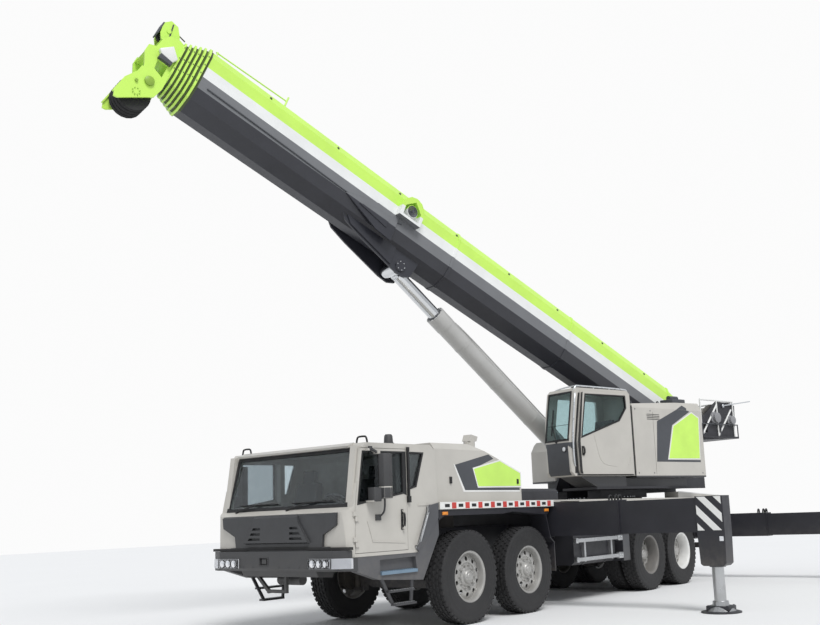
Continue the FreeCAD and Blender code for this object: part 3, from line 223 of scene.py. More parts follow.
warmGrey = (0.50, 0.48, 0.44)
limeColour = (0.56, 0.86, 0.13)
charcoal = (0.027, 0.028, 0.036)
finishes = {
    "bodyGrey": paintFinish("bodyGrey", warmGrey, 0.34, vary=0.05, dust=0.30, edgeTone=1.25, coat=0.35),
    "upperGrey": zonedFinish("upperGrey", warmGrey, [("Z", -9.0, 2.244, (0.045, 0.045, 0.048))], gloss=0.34, vary=0.05,
                             dust=0.0, edgeTone=1.25, coat=0.35),
    "barrelGrey": paintFinish("barrelGrey", (0.45, 0.445, 0.43), 0.34, vary=0.06, dust=0.0, coat=0.3),
    "limePaint": paintFinish("limePaint", limeColour, 0.34, vary=0.06, dust=0.0, edgeTone=1.15, coat=0.35),
    "whitePaint": paintFinish("whitePaint", (0.78, 0.78, 0.76), 0.38, vary=0.05, dust=0.15, coat=0.2),
    "redPaint": paintFinish("redPaint", (0.55, 0.05, 0.04), 0.32, vary=0.08, dust=0.15, coat=0.2),
    "chassisBlack": paintFinish("chassisBlack", (0.022, 0.022, 0.028), 0.42, vary=0.15, dust=0.45, dustTop=1.3,
                                edgeTone=3.0),
    "turntableBlack": paintFinish("turntableBlack", (0.028, 0.028, 0.033), 0.45, vary=0.15, dust=0.0, edgeTone=3.0),
    "trimDark": paintFinish("trimDark", (0.085, 0.087, 0.095), 0.46, vary=0.08, grain=0.05, dust=0.35, edgeTone=1.8),
    "rubberBlack": paintFinish("rubberBlack", (0.016, 0.016, 0.017), 0.62, vary=0.2, grain=0.12, grainScale=500.0,
                               dust=0.2, edge=0.1, edgeTone=2.0),
    "tyreRubber": paintFinish("tyreRubber", (0.017, 0.0168, 0.018), 0.72, vary=0.22, grain=0.25, grainScale=340.0,
                              dust=0.25, dustTop=1.9, edge=0.5, edgeTone=3.0, dustColour=(0.085, 0.083, 0.082)),
    "wheelSilver": paintFinish("wheelSilver", (0.44, 0.435, 0.42), 0.38, metal=0.45, vary=0.12, dust=0.35, dustTop=1.4,
                               edgeTone=1.3),
    "bareSteel": paintFinish("bareSteel", (0.55, 0.56, 0.57), 0.30, metal=0.9, vary=0.1, grain=0.04, dust=0.2,
                             edgeTone=1.25),
    "rodChrome": paintFinish("rodChrome", (0.72, 0.73, 0.74), 0.16, metal=1.0, vary=0.05, grain=0.005, dust=0.0,
                             edge=0.1),
    "graphite": paintFinish("graphite", (0.062, 0.066, 0.075), 0.44, vary=0.08, grain=0.04, dust=0.25, edgeTone=1.8),
    "bumperGrey": paintFinish("bumperGrey", (0.044, 0.045, 0.048), 0.46, vary=0.08, grain=0.05, dust=0.2,
                              edgeTone=1.9),
    "midGrey": paintFinish("midGrey", (0.26, 0.26, 0.27), 0.42, vary=0.08, dust=0.4, edgeTone=1.5),
    "stepBlue": paintFinish("stepBlue", (0.20, 0.30, 0.40), 0.36, metal=0.4, vary=0.1, dust=0.3, edgeTone=1.8),
    # lime darkened as painted shade, a shaded copy of the lime paint
    "limeInPaintedShade": paintFinish("limeInPaintedShade", (0.26, 0.42, 0.05), 0.40, vary=0.08, dust=0.0, edgeTone=1.3),
    # near-white rim paint standing in for a painted sunlit highlight on axle 4's rim barrels
    "rimPaintedSunlight": paintFinish("rimPaintedSunlight", (0.80, 0.80, 0.78), 0.34, metal=0.15, vary=0.06, dust=0.2, dustTop=1.2,
                            edgeTone=1.1),
    # darker rim paint standing in for painted shadow, used on axle 3's rims
    "rimPaintedShadow": paintFinish("rimPaintedShadow", (0.20, 0.195, 0.19), 0.46, metal=0.3, vary=0.15, dust=0.4, edgeTone=1.6),
    "castIron": paintFinish("castIron", (0.07, 0.065, 0.06), 0.66, metal=0.3, vary=0.25, grain=0.3, grainScale=120.0,
                            dust=0.45),
    "seatCloth": paintFinish("seatCloth", (0.10, 0.10, 0.11), 0.85, vary=0.15, grain=0.5, grainScale=700.0, dust=0.0,
                             edge=0.15),
    "dashPlastic": paintFinish("dashPlastic", (0.05, 0.05, 0.052), 0.55, vary=0.1, grain=0.25, grainScale=600.0,
                               dust=0.0, edge=0.15),
    "ropeSteel": paintFinish("ropeSteel", (0.20, 0.19, 0.17), 0.48, metal=0.7, vary=0.25, grain=0.5,
                             grainScale=180.0, dust=0.0, edge=0.1),
    "amberLens": paintFinish("amberLens", (0.80, 0.28, 0.03), 0.18, vary=0.1, dust=0.1, coat=0.6),
    "redLens": paintFinish("redLens", (0.45, 0.02, 0.02), 0.18, vary=0.1, dust=0.1, coat=0.6),
    "reflector": paintFinish("reflector", (0.85, 0.86, 0.88), 0.12, metal=1.0, vary=0.05, grain=0.2, grainScale=90.0,
                             dust=0.0, edge=0.0),
    "lampBody": zonedFinish("lampBody", (0.62, 0.63, 0.65),
                            [("Z", 2.5, 9.0, (0.045, 0.045, 0.050)), ("Z", 1.57, 1.67, (0.80, 0.28, 0.03)),
                             ("X", -9.0, -6.0, (0.45, 0.02, 0.02))], gloss=0.22, vary=0.05, dust=0.1, coat=0.6),
    "lensWhite": paintFinish("lensWhite", (0.70, 0.72, 0.75), 0.16, vary=0.05, dust=0.0, coat=0.8),
    "silverRail": paintFinish("silverRail", (0.62, 0.64, 0.66), 0.28, metal=0.5, vary=0.08, dust=0.1, edgeTone=1.2),
    "railSteel": zonedFinish("railSteel", (0.55, 0.56, 0.57), [("X", 2.0, 9.0, (0.10, 0.10, 0.105))], gloss=0.30,
                             metal=0.85, vary=0.1, grain=0.04, dust=0.2, edgeTone=1.25),
    "screenGlass": glassFinish("screenGlass", (0.66, 0.73, 0.76), film=0.5, bend=1.5),
    "sideGlass": glassFinish("sideGlass", (0.34, 0.38, 0.40)),
    "cabinGlass": glassFinish("cabinGlass", (0.58, 0.70, 0.71)),
    "clearLens": glassFinish("clearLens", (0.92, 0.93, 0.95)),
}
ringSizes = {"end": 12.940, "thick": 0.034, "first": 0.040, "step": 0.072}
for place in range(6):
    start = ringSizes["end"] - 0.001
    if place > 0:
        start = ringSizes["end"] + ringSizes["first"] + ringSizes["step"] * place - ringSizes["thick"]
    finishes["boomPaint%d" % place] = boomFinish("boomPaint%d" % place, charcoal, (0.17, 0.175, 0.185),
                                                 (0.80, 0.81, 0.80), limeColour, (-0.035, 0.192, 0.395), start)
print("finishes", len(finishes))


def dress(finishName, *names):
    for name in names:
        data = nodes[name].data
        data.materials.clear()
        data.materials.append(finishes[finishName])


dress("bodyGrey", "hood_and_deck", "cab_shell", "cab_door_l", "cab_door_r")
dress("upperGrey", "side_housings", "operator_cab", "operator_door")
dress("barrelGrey", "lift_barrel")
dress("rodChrome", "lift_rod")
dress("chassisBlack", "chassis_frame", "fenders", "axles", "beam1_front_l", "beam1_front_r", "beam1_rear_l",
      "beam1_rear_r", "beam2_front_l", "beam2_front_r", "beam2_rear_l", "beam2_rear_r")
dress("turntableBlack", "upper_frame", "tanks")
dress("trimDark", "cab_skirts")
dress("bumperGrey", "front_bumper")
dress("castIron", "engine_block", "knuckle_1l", "knuckle_1r", "knuckle_2l", "knuckle_2r")
dress("railSteel", "side_rails")
dress("bareSteel", "jack_front_l", "jack_front_r", "jack_rear_l", "jack_rear_r")
dress("ropeSteel", "winch_main", "winch_aux")
for place, name in enumerate(("boom_base", "boom_1", "boom_2", "boom_3", "boom_4", "boom_5")):
    dress("boomPaint%d" % place, name)
dress("rubberBlack", "sheaves_low", "sheaves_top")
dress("screenGlass", "cab_glass")
dress("sideGlass", "door_glass_l", "door_glass_r")
dress("cabinGlass", "operator_glass", "operator_door_glass")
dress("lampBody", "lamps")
dress("dashPlastic", "cab_interior")
dress("seatCloth", "operator_seat")


# making pieces

def addPiece(name, bm, finishName, body, place=carrier, smooth=35, doubles=True):
    # writes a shaped bmesh as a piece that rides on a body
    bm.transform(place)
    if doubles:
        bmesh.ops.remove_doubles(bm, verts=bm.verts[:], dist=0.00005)
    bmesh.ops.recalc_face_normals(bm, faces=bm.faces[:])
    data = bpy.data.meshes.new(name)
    bm.to_mesh(data)
    bm.free()
    data.shade_smooth()
    data.set_sharp_from_angle(angle=math.radians(smooth))
    piece = bpy.data.objects.new(name, data)
    scene.collection.objects.link(piece)
    data.materials.append(finishes[finishName])
    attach(piece, body)
    return piece


def addBlock(bm, x0, x1, y0, y1, z0, z1):
    size = Matrix.Diagonal((x1 - x0, y1 - y0, z1 - z0, 1))
    centre = Matrix.Translation(((x0 + x1) / 2, (y0 + y1) / 2, (z0 + z1) / 2))
    return bmesh.ops.create_cube(bm, size=1.0, matrix=centre @ size)["verts"]


def addPlate(bm, points, axis, low, high):
    # flat outline of two coordinates, pushed along the axis between two places
    order = {"x": (1, 2, 0), "y": (0, 2, 1), "z": (0, 1, 2)}[axis]
    corners = []
    for pair in points:
        spot = [0.0, 0.0, 0.0]
        spot[order[0]], spot[order[1]], spot[order[2]] = pair[0], pair[1], low
        corners.append(bm.verts.new(spot))
    face = bm.faces.new(corners)
    moved = [v for v in bmesh.ops.extrude_face_region(bm, geom=[face])["geom"] if isinstance(v, bmesh.types.BMVert)]
    push = Vector((0, 0, 0))
    push[order[2]] = high - low
    bmesh.ops.translate(bm, verts=moved, vec=push)
    bm.faces.ensure_lookup_table()
    return corners + moved


def addRod(bm, start, end, radius, sides=12, endRadius=None):
    start, end = Vector(start), Vector(end)
    run = end - start
    turn = run.to_track_quat("Z", "Y").to_matrix().to_4x4()
    place = Matrix.Translation((start + end) / 2) @ turn
    return bmesh.ops.create_cone(bm, cap_ends=True, segments=sides, radius1=radius,
                                 radius2=radius if endRadius is None else endRadius, depth=run.length,
                                 matrix=place)["verts"]


def addTurned(bm, outline, axis, centre, sides=48):
    # closed outline of (radius, place along the axis) pairs, spun round the axis
    lead = {"x": (Vector((0, 0, 1)), Vector((1, 0, 0))), "y": (Vector((0, 0, 1)), Vector((0, 1, 0))),
            "z": (Vector((1, 0, 0)), Vector((0, 0, 1)))}[axis]
    centre = Vector(centre)
    ring = [bm.verts.new(centre + lead[0] * r + lead[1] * a) for r, a in outline]
    edges = [bm.edges.new((ring[i], ring[(i + 1) % len(ring)])) for i in range(len(ring))]
    bmesh.ops.spin(bm, geom=ring + edges, cent=centre, axis=lead[1], angle=math.tau, steps=sides, use_merge=True)


def addPipe(bm, points, radius, sides=10, cyclic=False):
    # round bar along a smooth bend through a few points
    curve = bpy.data.curves.new("pipeRun", "CURVE")
    curve.dimensions = "3D"
    curve.bevel_depth = radius
    curve.bevel_resolution = max(1, sides // 4)
    curve.use_fill_caps = True
    curve.resolution_u = 6
    run = curve.splines.new("NURBS")
    run.points.add(len(points) - 1)
    for spot, point in zip(run.points, points):
        spot.co = (*point, 1)
    run.order_u = 3
    run.use_endpoint_u = not cyclic
    run.use_cyclic_u = cyclic
    holder = bpy.data.objects.new("pipeRun", curve)
    scene.collection.objects.link(holder)
    data = bpy.data.meshes.new_from_object(holder.evaluated_get(bpy.context.evaluated_depsgraph_get()))
    bm.from_mesh(data)
    bpy.data.meshes.remove(data)
    bpy.data.objects.remove(holder)
    bpy.data.curves.remove(curve)


def roundEdges(bm, width, segments=2, limit=30):
    sharp = [e for e in bm.edges if len(e.link_faces) == 2 and e.calc_face_angle(0) > math.radians(limit)]
    bmesh.ops.bevel(bm, geom=sharp, offset=width, offset_type="OFFSET", segments=segments, profile=0.5,
                    affect="EDGES", material=-1, clamp_overlap=True)


# wheels: tyre with blocks, rim barrel, disc with hand holes, hub and nuts
wheelSizes = {"radius": 0.685, "treadDepth": 0.016, "halfWidth": 0.170, "rim": 0.366, "blocks": 46, "rows": 5,
              "holes": 10, "holeRadius": 0.034, "holeCircle": 0.262, "nuts": 10, "nutCircle": 0.172}


def tyreShape(bm, y, full=True):
    s = wheelSizes
    r, w, rim = s["radius"] - s["treadDepth"], s["halfWidth"], s["rim"]
    side = [(rim - 0.006, w * 0.80), (rim + 0.004, w * 0.90), (rim + 0.03, w * 0.93), (rim + 0.08, w * 0.985),
            (rim + 0.13, w), (rim + 0.17, w * 0.985), (rim + 0.175, w * 0.992), (rim + 0.185, w * 0.985),
            (rim + 0.235, w * 0.95), (rim + 0.242, w * 0.96), (rim + 0.27, w * 0.92), (r - 0.006, w * 0.86),
            (r, w * 0.80), (r, w * 0.3)]
    outline = side + [(a, -b) for a, b in reversed(side)]
    addTurned(bm, outline, "y", (0, y, 0), 72)


def treadShape(bm, y):
    s = wheelSizes
    r, w = s["radius"], s["halfWidth"]
    lanes = [(-0.80, 0.30, 0.16, 0.5), (-0.40, 0.16, -0.10, 0.0), (0.0, 0.16, 0.10, 0.5), (0.40, 0.16, -0.10, 0.0),
             (0.80, 0.30, -0.16, 0.5)]
    pitch = math.tau / s["blocks"]
    for place, width, skew, offset in lanes:
        inner = abs(place) < 0.7
        for i in range(s["blocks"]):
            turn = Matrix.Rotation(pitch * (i + offset), 4, "Y")
            tilt = Matrix.Rotation(skew, 4, "Z")
            depth = s["treadDepth"] + 0.012
            length = 0.066 if inner else 0.060
            size = Matrix.Diagonal((length, w * width * (1.0 if inner else 0.86), depth, 1))
            spot = Matrix.Translation((0, y + w * place * (1.0 if inner else 0.93), 0))
            bmesh.ops.create_cube(bm, size=1.0, matrix=spot @ turn @ Matrix.Translation((0, 0, r - depth / 2)) @
                                  tilt @ size)


def rimShape(bm, y, disc, deep):
    s = wheelSizes
    rim, w = s["rim"], s["halfWidth"]
    well = rim - 0.034
    addTurned(bm, [(rim - 0.004, y - w * 0.78), (rim + 0.012, y - w * 0.86), (rim + 0.008, y - w * 0.91),
                   (rim - 0.020, y - w * 0.84), (well, y - w * 0.6), (well, y + w * 0.62), (rim - 0.018, y + w * 0.84),
                   (rim + 0.010, y + w * 0.915), (rim + 0.016, y + w * 0.87), (rim, y + w * 0.78),
                   (well + 0.010, y + w * 0.55), (well + 0.010, y - w * 0.55)], "y", (0, 0, 0), 72)


def discShape(disc, deep):
    # wheel disc with its hand holes cut through
    s = wheelSizes
    well = s["rim"] - 0.034
    swell = 0.030 if deep else 0.026
    front = [(well + 0.002, disc + 0.004), (well - 0.03, disc + 0.012), (0.285, disc + swell),
             (0.235, disc + swell + 0.010), (0.205, disc + swell + 0.006), (0.200, disc + 0.022), (0.0, disc + 0.022)]
    back = [(0.0, disc + 0.004), (0.200, disc + 0.004), (0.235, disc + swell - 0.004), (0.285, disc + swell - 0.014),
            (well - 0.03, disc - 0.004), (well + 0.002, disc - 0.012)]
    bm = bmesh.new()
    ring = [bm.verts.new((0, a, r)) for r, a in front + back]
    edges = [bm.edges.new((ring[i], ring[i + 1])) for i in range(len(ring) - 1)]
    edges.append(bm.edges.new((ring[-1], ring[0])))
    bmesh.ops.spin(bm, geom=ring + edges, cent=(0, 0, 0), axis=(0, 1, 0), angle=math.tau, steps=80, use_merge=True)
    bmesh.ops.remove_doubles(bm, verts=bm.verts[:], dist=0.0002)
    bmesh.ops.recalc_face_normals(bm, faces=bm.faces[:])
    cutter = bmesh.new()
    for i in range(s["holes"]):
        a = math.tau * (i + 0.5) / s["holes"]
        x, z = s["holeCircle"] * math.cos(a), s["holeCircle"] * math.sin(a)
        addRod(cutter, (x, disc - 0.06, z), (x, disc + 0.12, z), s["holeRadius"], 20)
    made = []
    for part, name in ((bm, "discStock"), (cutter, "discHoles")):
        data = bpy.data.meshes.new(name)
        part.to_mesh(data)
        part.free()
        made.append(bpy.data.objects.new(name, data))
        scene.collection.objects.link(made[-1])
    cut = made[0].modifiers.new("holes", "BOOLEAN")
    cut.operation = "DIFFERENCE"
    cut.object = made[1]
    cut.solver = "EXACT"
    data = bpy.data.meshes.new_from_object(made[0].evaluated_get(bpy.context.evaluated_depsgraph_get()))
    for piece in made:
        bpy.data.objects.remove(piece)
    result = bmesh.new()
    result.from_mesh(data)
    bpy.data.meshes.remove(data)
    return result


def hubShape(bm, disc, deep):
    s = wheelSizes
    base = disc + 0.020
    tall = 0.070 if deep else 0.062
    addTurned(bm, [(0.0, base - 0.01), (0.142, base - 0.01), (0.142, base + 0.010), (0.128, base + 0.020),
                   (0.108, base + 0.026), (0.098, base + tall), (0.086, base + tall + 0.010),
                   (0.060, base + tall + 0.014), (0.052, base + tall + 0.022), (0.0, base + tall + 0.024)],
              "y", (0, 0, 0), 40)
    for i in range(8):
        a = math.tau * i / 8
        x, z = 0.078 * math.cos(a), 0.078 * math.sin(a)
        addRod(bm, (x, base + tall, z), (x, base + tall + 0.022, z), 0.009, 6)
    for i in range(s["nuts"]):
        a = math.tau * i / s["nuts"]
        x, z = s["nutCircle"] * math.cos(a), s["nutCircle"] * math.sin(a)
        addRod(bm, (x, base - 0.002, z), (x, base + 0.010, z), 0.022, 12)
        addRod(bm, (x, base + 0.008, z), (x, base + 0.034, z), 0.017, 6)
        addRod(bm, (x, base + 0.030, z), (x, base + 0.046, z), 0.009, 8)


def copyTurned(source, side, x):
    # the left wheel's mesh, moved to its axle, and mirrored for the right side
    bm = source.copy()
    if side < 0:
        bmesh.ops.transform(bm, matrix=Matrix.Diagonal((1, -1, 1, 1)), verts=bm.verts[:])
    bmesh.ops.translate(bm, verts=bm.verts[:], vec=(x, 0, wheelSizes["radius"]))
    return bm


axlePlaces = {"1": 0.0, "2": -1.58, "3": -5.92, "4": -7.40}
for twin in (False, True):
    outer, inner = 1.205, 0.815
    disc = outer - 0.075 if twin else outer + 0.055
    rubber, blocks, metal = bmesh.new(), bmesh.new(), bmesh.new()
    for y in ((outer, inner) if twin else (outer,)):
        tyreShape(rubber, y)
        treadShape(blocks, y)
        rimShape(metal, y, disc, twin)
    discPart = discShape(disc, twin)
    hub = bmesh.new()
    hubShape(hub, disc, twin)
    if twin:
        addTurned(metal, [(0.338, 0.92), (0.362, 0.92), (0.362, 1.10), (0.338, 1.10)], "y", (0, 0, 0), 60)
    for axle in ("34" if twin else "12"):
        for tag, side in (("l", 1), ("r", -1)):
            name = axle + tag
            body = "wheel_" + name
            x = axlePlaces[axle]
            tyre = addPiece("tyre_" + name, copyTurned(rubber, side, x), "tyreRubber", body, smooth=50)
            addPiece("tread_" + name, copyTurned(blocks, side, x), "tyreRubber", body, smooth=30, doubles=False)
            # rims with painted light: axle 3 gets the painted-shadow finish, axle 4 the painted sunlit finish, the
            # others plain silver
            rimPaintedLight = {"3": "rimPaintedShadow", "4": "rimPaintedSunlight"}.get(axle, "wheelSilver")
            addPiece("rim_" + name, copyTurned(metal, side, x), rimPaintedLight, body)
            addPiece("disc_" + name, copyTurned(discPart, side, x), "wheelSilver", body, smooth=40)
            addPiece("hub_" + name, copyTurned(hub, side, x), "wheelSilver", body)
            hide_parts(body)
    for part in (rubber, blocks, metal, discPart, hub):
        part.free()
print("wheels done")


# outlines and loops

def insetLoop(points, width):
    # the same outline moved inwards, or outwards with a negative width
    area = sum(a[0] * b[1] - b[0] * a[1] for a, b in zip(points, points[1:] + points[:1]))
    sign = 1 if area > 0 else -1
    result = []
    for i, here in enumerate(points):
        before, after = points[i - 1], points[(i + 1) % len(points)]
        lines = []
        for a, b in ((before, here), (here, after)):
            length = math.hypot(b[0] - a[0], b[1] - a[1])
            nx, ny = -(b[1] - a[1]) / length * sign, (b[0] - a[0]) / length * sign
            lines.append((nx, ny, nx * a[0] + ny * a[1] + width))
        (p, q, r), (s, t, u) = lines
        cross = p * t - q * s
        if abs(cross) < 1e-6:
            result.append((here[0] + p * width, here[1] + q * width))
        else:
            result.append(((r * t - q * u) / cross, (p * u - r * s) / cross))
    return result


def addRing(bm, outer, inner, axis, low, high):
    # flat frame between two outlines with the same number of corners
    order = {"x": (1, 2, 0), "y": (0, 2, 1), "z": (0, 1, 2)}[axis]
    loops = []
    for points, height in ((outer, low), (outer, high), (inner, high), (inner, low)):
        loop = []
        for pair in points:
            spot = [0.0, 0.0, 0.0]
            spot[order[0]], spot[order[1]], spot[order[2]] = pair[0], pair[1], height
            loop.append(bm.verts.new(spot))
        loops.append(loop)
    count = len(outer)
    for a, b in zip(loops, loops[1:] + loops[:1]):
        for i in range(count):
            k = (i + 1) % count
            bm.faces.new((a[i], a[k], b[k], b[i]))


def addLoft(bm, rings):
    # closed form through rings with the same number of corners
    made = [[bm.verts.new(spot) for spot in ring] for ring in rings]
    for a, b in zip(made[:-1], made[1:]):
        for i in range(len(a)):
            k = (i + 1) % len(a)
            bm.faces.new((a[i], a[k], b[k], b[i]))
    bm.faces.new(made[0])
    bm.faces.new(made[-1])


def cutBand(rect, low, high):
    # part of a rectangle between two diagonals u + v = low and u + v = high
    u0, u1, v0, v1 = rect
    shape = [(u0, v0), (u1, v0), (u1, v1), (u0, v1)]
    for limit, sign in ((low, 1), (high, -1)):
        kept = []
        for a, b in zip(shape, shape[1:] + shape[:1]):
            da, db = sign * (a[0] + a[1] - limit), sign * (b[0] + b[1] - limit)
            if da >= 0:
                kept.append(a)
            if da * db < 0:
                k = da / (da - db)
                kept.append((a[0] + (b[0] - a[0]) * k, a[1] + (b[1] - a[1]) * k))
        shape = kept
        if not shape:
            return []
    return shape


def mirrorY(bm):
    # a second copy on the other side of the middle plane
    twin = bmesh.ops.duplicate(bm, geom=bm.verts[:] + bm.edges[:] + bm.faces[:])["geom"]
    spots = [v for v in twin if isinstance(v, bmesh.types.BMVert)]
    bmesh.ops.transform(bm, matrix=Matrix.Diagonal((1, -1, 1, 1)), verts=spots)


# carrier cab: screen surround, wipers, window frames, trim
cabSizes = {"side": 1.350, "surround": 0.042, "bladeLength": 0.80, "barWidth": 0.060}
slope = (Vector((2.247, 0, 2.546)) - Vector((2.440, 0, 1.752))).normalized()
outward = Vector((slope.z, 0, -slope.x))
screenPlace = carrier @ Matrix.Translation((2.440, 0, 1.752)) @ Matrix(
    ((0, slope.x, outward.x), (1, slope.y, outward.y), (0, slope.z, outward.z))).to_4x4()


def screenV(z):
    return (z - 1.752) / slope.z


def makeScreenTrim():
    # black band round the glass and two parked wipers
    edge = [(-1.195, screenV(1.790)), (1.195, screenV(1.790)), (1.150, screenV(2.495)), (-1.150, screenV(2.495))]
    bm = bmesh.new()
    addRing(bm, insetLoop(edge, -cabSizes["surround"]), insetLoop(edge, 0.006), "z", -0.010, 0.006)
    addPiece("screen_surround", bm, "rubberBlack", "carrier", screenPlace)
    bm = bmesh.new()
    for pivot, tip in ((0.10, 0.98), (-0.98, -0.12)):
        addTurned(bm, [(0, -0.002), (0.030, -0.002), (0.030, 0.030), (0.018, 0.040), (0, 0.040)], "z",
                  (pivot, -0.004, 0), 16)
        knee = (pivot + (tip - pivot) * 0.45, 0.075, 0.040)
        addRod(bm, (pivot, -0.004, 0.030), knee, 0.011, 8)
        addRod(bm, knee, (knee[0] + 0.06, 0.085, 0.022), 0.009, 8)
        span = cabSizes["bladeLength"] / 2
        addBlock(bm, knee[0] + 0.06 - span, knee[0] + 0.06 + span, 0.078, 0.092, -0.006, 0.020)
        addBlock(bm, knee[0] + 0.06 - span * 0.6, knee[0] + 0.06 + span * 0.6, 0.080, 0.090, 0.018, 0.030)
    addPiece("wipers", bm, "rubberBlack", "carrier", screenPlace)


def makeCabTrim():
    side = cabSizes["side"]
    door = [(2.350, 1.790), (2.246, 2.470), (1.450, 2.480), (1.450, 1.930)]
    quarter = [(1.310, 1.990), (1.310, 2.480), (1.015, 2.480), (1.180, 2.020)]
    for tag, sign in (("l", 1), ("r", -1)):
        flip = carrier @ Matrix.Diagonal((1, sign, 1, 1))
        bm = bmesh.new()
        addRing(bm, insetLoop(door, -0.018), insetLoop(door, 0.008), "y", side - 0.034, side + 0.005)
        addPlate(bm, [(1.452, 1.915), (1.452, 2.498), (1.384, 2.498), (1.384, 1.895)], "y", side - 0.001, side + 0.006)
        addPiece("door_seal_" + tag, bm, "rubberBlack", "cab_door_" + tag, flip)
        bm = bmesh.new()
        addRing(bm, insetLoop(quarter, -0.018), insetLoop(quarter, 0.008), "y", side - 0.034, side + 0.005)
        addPlate(bm, [(1.368, 1.880), (1.368, 2.498), (1.308, 2.498), (1.308, 1.975)], "y", side - 0.001, side + 0.006)
        addPiece("quarter_seal_" + tag, bm, "rubberBlack", "carrier", flip)
        # snorkel bar over the gap, its knob and foot, hung on the carrier behind the door
        bm = bmesh.new()
        addBlock(bm, 1.336, 1.366, side + 0.004, side + 0.034, 1.870, 2.520)
        addBlock(bm, 1.326, 1.376, side - 0.002, side + 0.044, 1.790, 1.880)
        roundEdges(bm, 0.004)
        addRod(bm, (1.351, side + 0.020, 2.510), (1.351, side + 0.020, 2.560), 0.024, 12)
        addPiece("pillar_bar_" + tag, bm, "rubberBlack", "carrier", flip)
        # mirrors: dark covers over the housings, faces, the roof arm and the low bracket
        bm = bmesh.new()
        addPlate(bm, insetLoop([(1.900, side + 0.070), (2.010, side + 0.055), (2.060, side + 0.110),
                                (2.040, side + 0.190), (1.960, side + 0.230), (1.890, side + 0.200)], -0.004),
                 "z", 2.000, 2.444)
        addPlate(bm, insetLoop([(2.060, side + 0.050), (2.200, side + 0.040), (2.200, side + 0.160),
                                (2.080, side + 0.170)], -0.004), "z", 1.808, 1.994)
        addPlate(bm, insetLoop([(1.900, side + 0.070), (2.010, side + 0.055), (2.060, side + 0.110),
                                (2.040, side + 0.190), (1.960, side + 0.230), (1.890, side + 0.200)], -0.002),
                 "z", 1.846, 1.996)
        roundEdges(bm, 0.012, 3)
        addRod(bm, (2.150, side + 0.048, 2.500), (2.150, side + 0.048, 2.545), 0.030, 14)
        addPipe(bm, [(2.185, side + 0.010, 2.500), (2.170, side + 0.050, 2.505), (2.090, side + 0.060, 2.495),
                     (2.050, side + 0.090, 2.455)], 0.020, 10)
        addPipe(bm, [(1.975, side + 0.130, 1.850), (1.960, side + 0.120, 1.740), (1.930, side + 0.060, 1.640),
                     (1.960, side + 0.004, 1.610)], 0.013, 10)
        addBlock(bm, 1.930, 2.030, side - 0.001, side + 0.018, 1.560, 1.640)
        addPiece("mirror_cover_" + tag, bm, "dashPlastic", "cab_door_" + tag, flip)
        bm = bmesh.new()
        addPlate(bm, [(1.898, side + 0.088), (1.900, side + 0.196), (1.888, side + 0.196), (1.886, side + 0.088)],
                 "z", 2.030, 2.420)
        addPiece("mirror_face_" + tag, bm, "reflector", "cab_door_" + tag, flip)
        # handle shell and lock
        bm = bmesh.new()
        addPlate(bm, [(1.462, 1.424), (1.516, 1.424), (1.510, 1.700), (1.468, 1.700)], "y", side - 0.001, side + 0.008)
        addPipe(bm, [(1.488, side + 0.004, 1.448), (1.488, side + 0.040, 1.452), (1.478, side + 0.044, 1.560),
                     (1.488, side + 0.040, 1.668), (1.488, side + 0.004, 1.672)], 0.0165, 10)
        addPiece("door_handle_" + tag, bm, "rubberBlack", "cab_door_" + tag, flip)
        bm = bmesh.new()
        addPipe(bm, [(0.945, side + 0.010, 1.720), (0.950, side + 0.055, 1.715), (1.085, side + 0.058, 1.445),
                     (1.220, side + 0.055, 1.175), (1.222, side + 0.010, 1.170)], 0.0175, 12)
        addPiece("grab_bar_" + tag, bm, "bareSteel", "carrier", flip)
        # step plate with its raised treads, and folding steps' rungs
        bm = bmesh.new()
        addBlock(bm, 1.226, 1.959, side + 0.001, side + 0.034, 0.842, 0.884)
        addBlock(bm, 1.240, 1.945, side - 0.062, side + 0.030, 0.880, 0.886)
        for i in range(17):
            x = 1.262 + 0.041 * i
            addBlock(bm, x, x + 0.014, side - 0.058, side + 0.026, 0.885, 0.892)
        addPiece("step_plate_" + tag, bm, "stepBlue", "carrier", flip)
        bm = bmesh.new()
        for x0, x1, z in ((1.296, 1.694, 0.450), (1.306, 1.794, 0.626)):
            for i in range(9):
                x = x0 + (x1 - x0) * (i + 0.25) / 9
                addBlock(bm, x, x + 0.018, side - 0.044, side + 0.026, z - 0.002, z + 0.007)
        addPiece("step_treads_" + tag, bm, "bareSteel", "carrier", flip)
    bm = bmesh.new()
    for y0, y1, x in ((1.10, 1.42, 2.10), (-1.42, -1.10, 2.10)):
        base = 2.598
        inner, outer = min(abs(y0), abs(y1)), 1.30
        s = 1 if y0 > 0 else -1
        addPipe(bm, [(x, s * inner, base), (x, s * (inner + 0.01), base + 0.085), (x, s * (inner + 0.06), base + 0.095),
                     (x, s * (outer - 0.06), base + 0.095), (x, s * (outer - 0.01), base + 0.085),
                     (x, s * outer, base)], 0.013, 10)
    addPiece("roof_loops", bm, "rubberBlack", "carrier")
    # roof seam, drip rail and the line between cab and hood
    bm = bmesh.new()
    addBlock(bm, 0.696, 0.700, -1.30, 1.30, 1.80, 2.50)
    addPiece("hood_seam", bm, "rubberBlack", "carrier")


def makeBeacon():
    bm = bmesh.new()
    addTurned(bm, [(0, 2.600), (0.086, 2.600), (0.086, 2.654), (0.068, 2.666), (0.060, 2.764), (0.044, 2.785),
                   (0, 2.785)], "z", (1.23, 0.90, 0), 28)
    addPiece("beacon_cover", bm, "dashPlastic", "carrier")


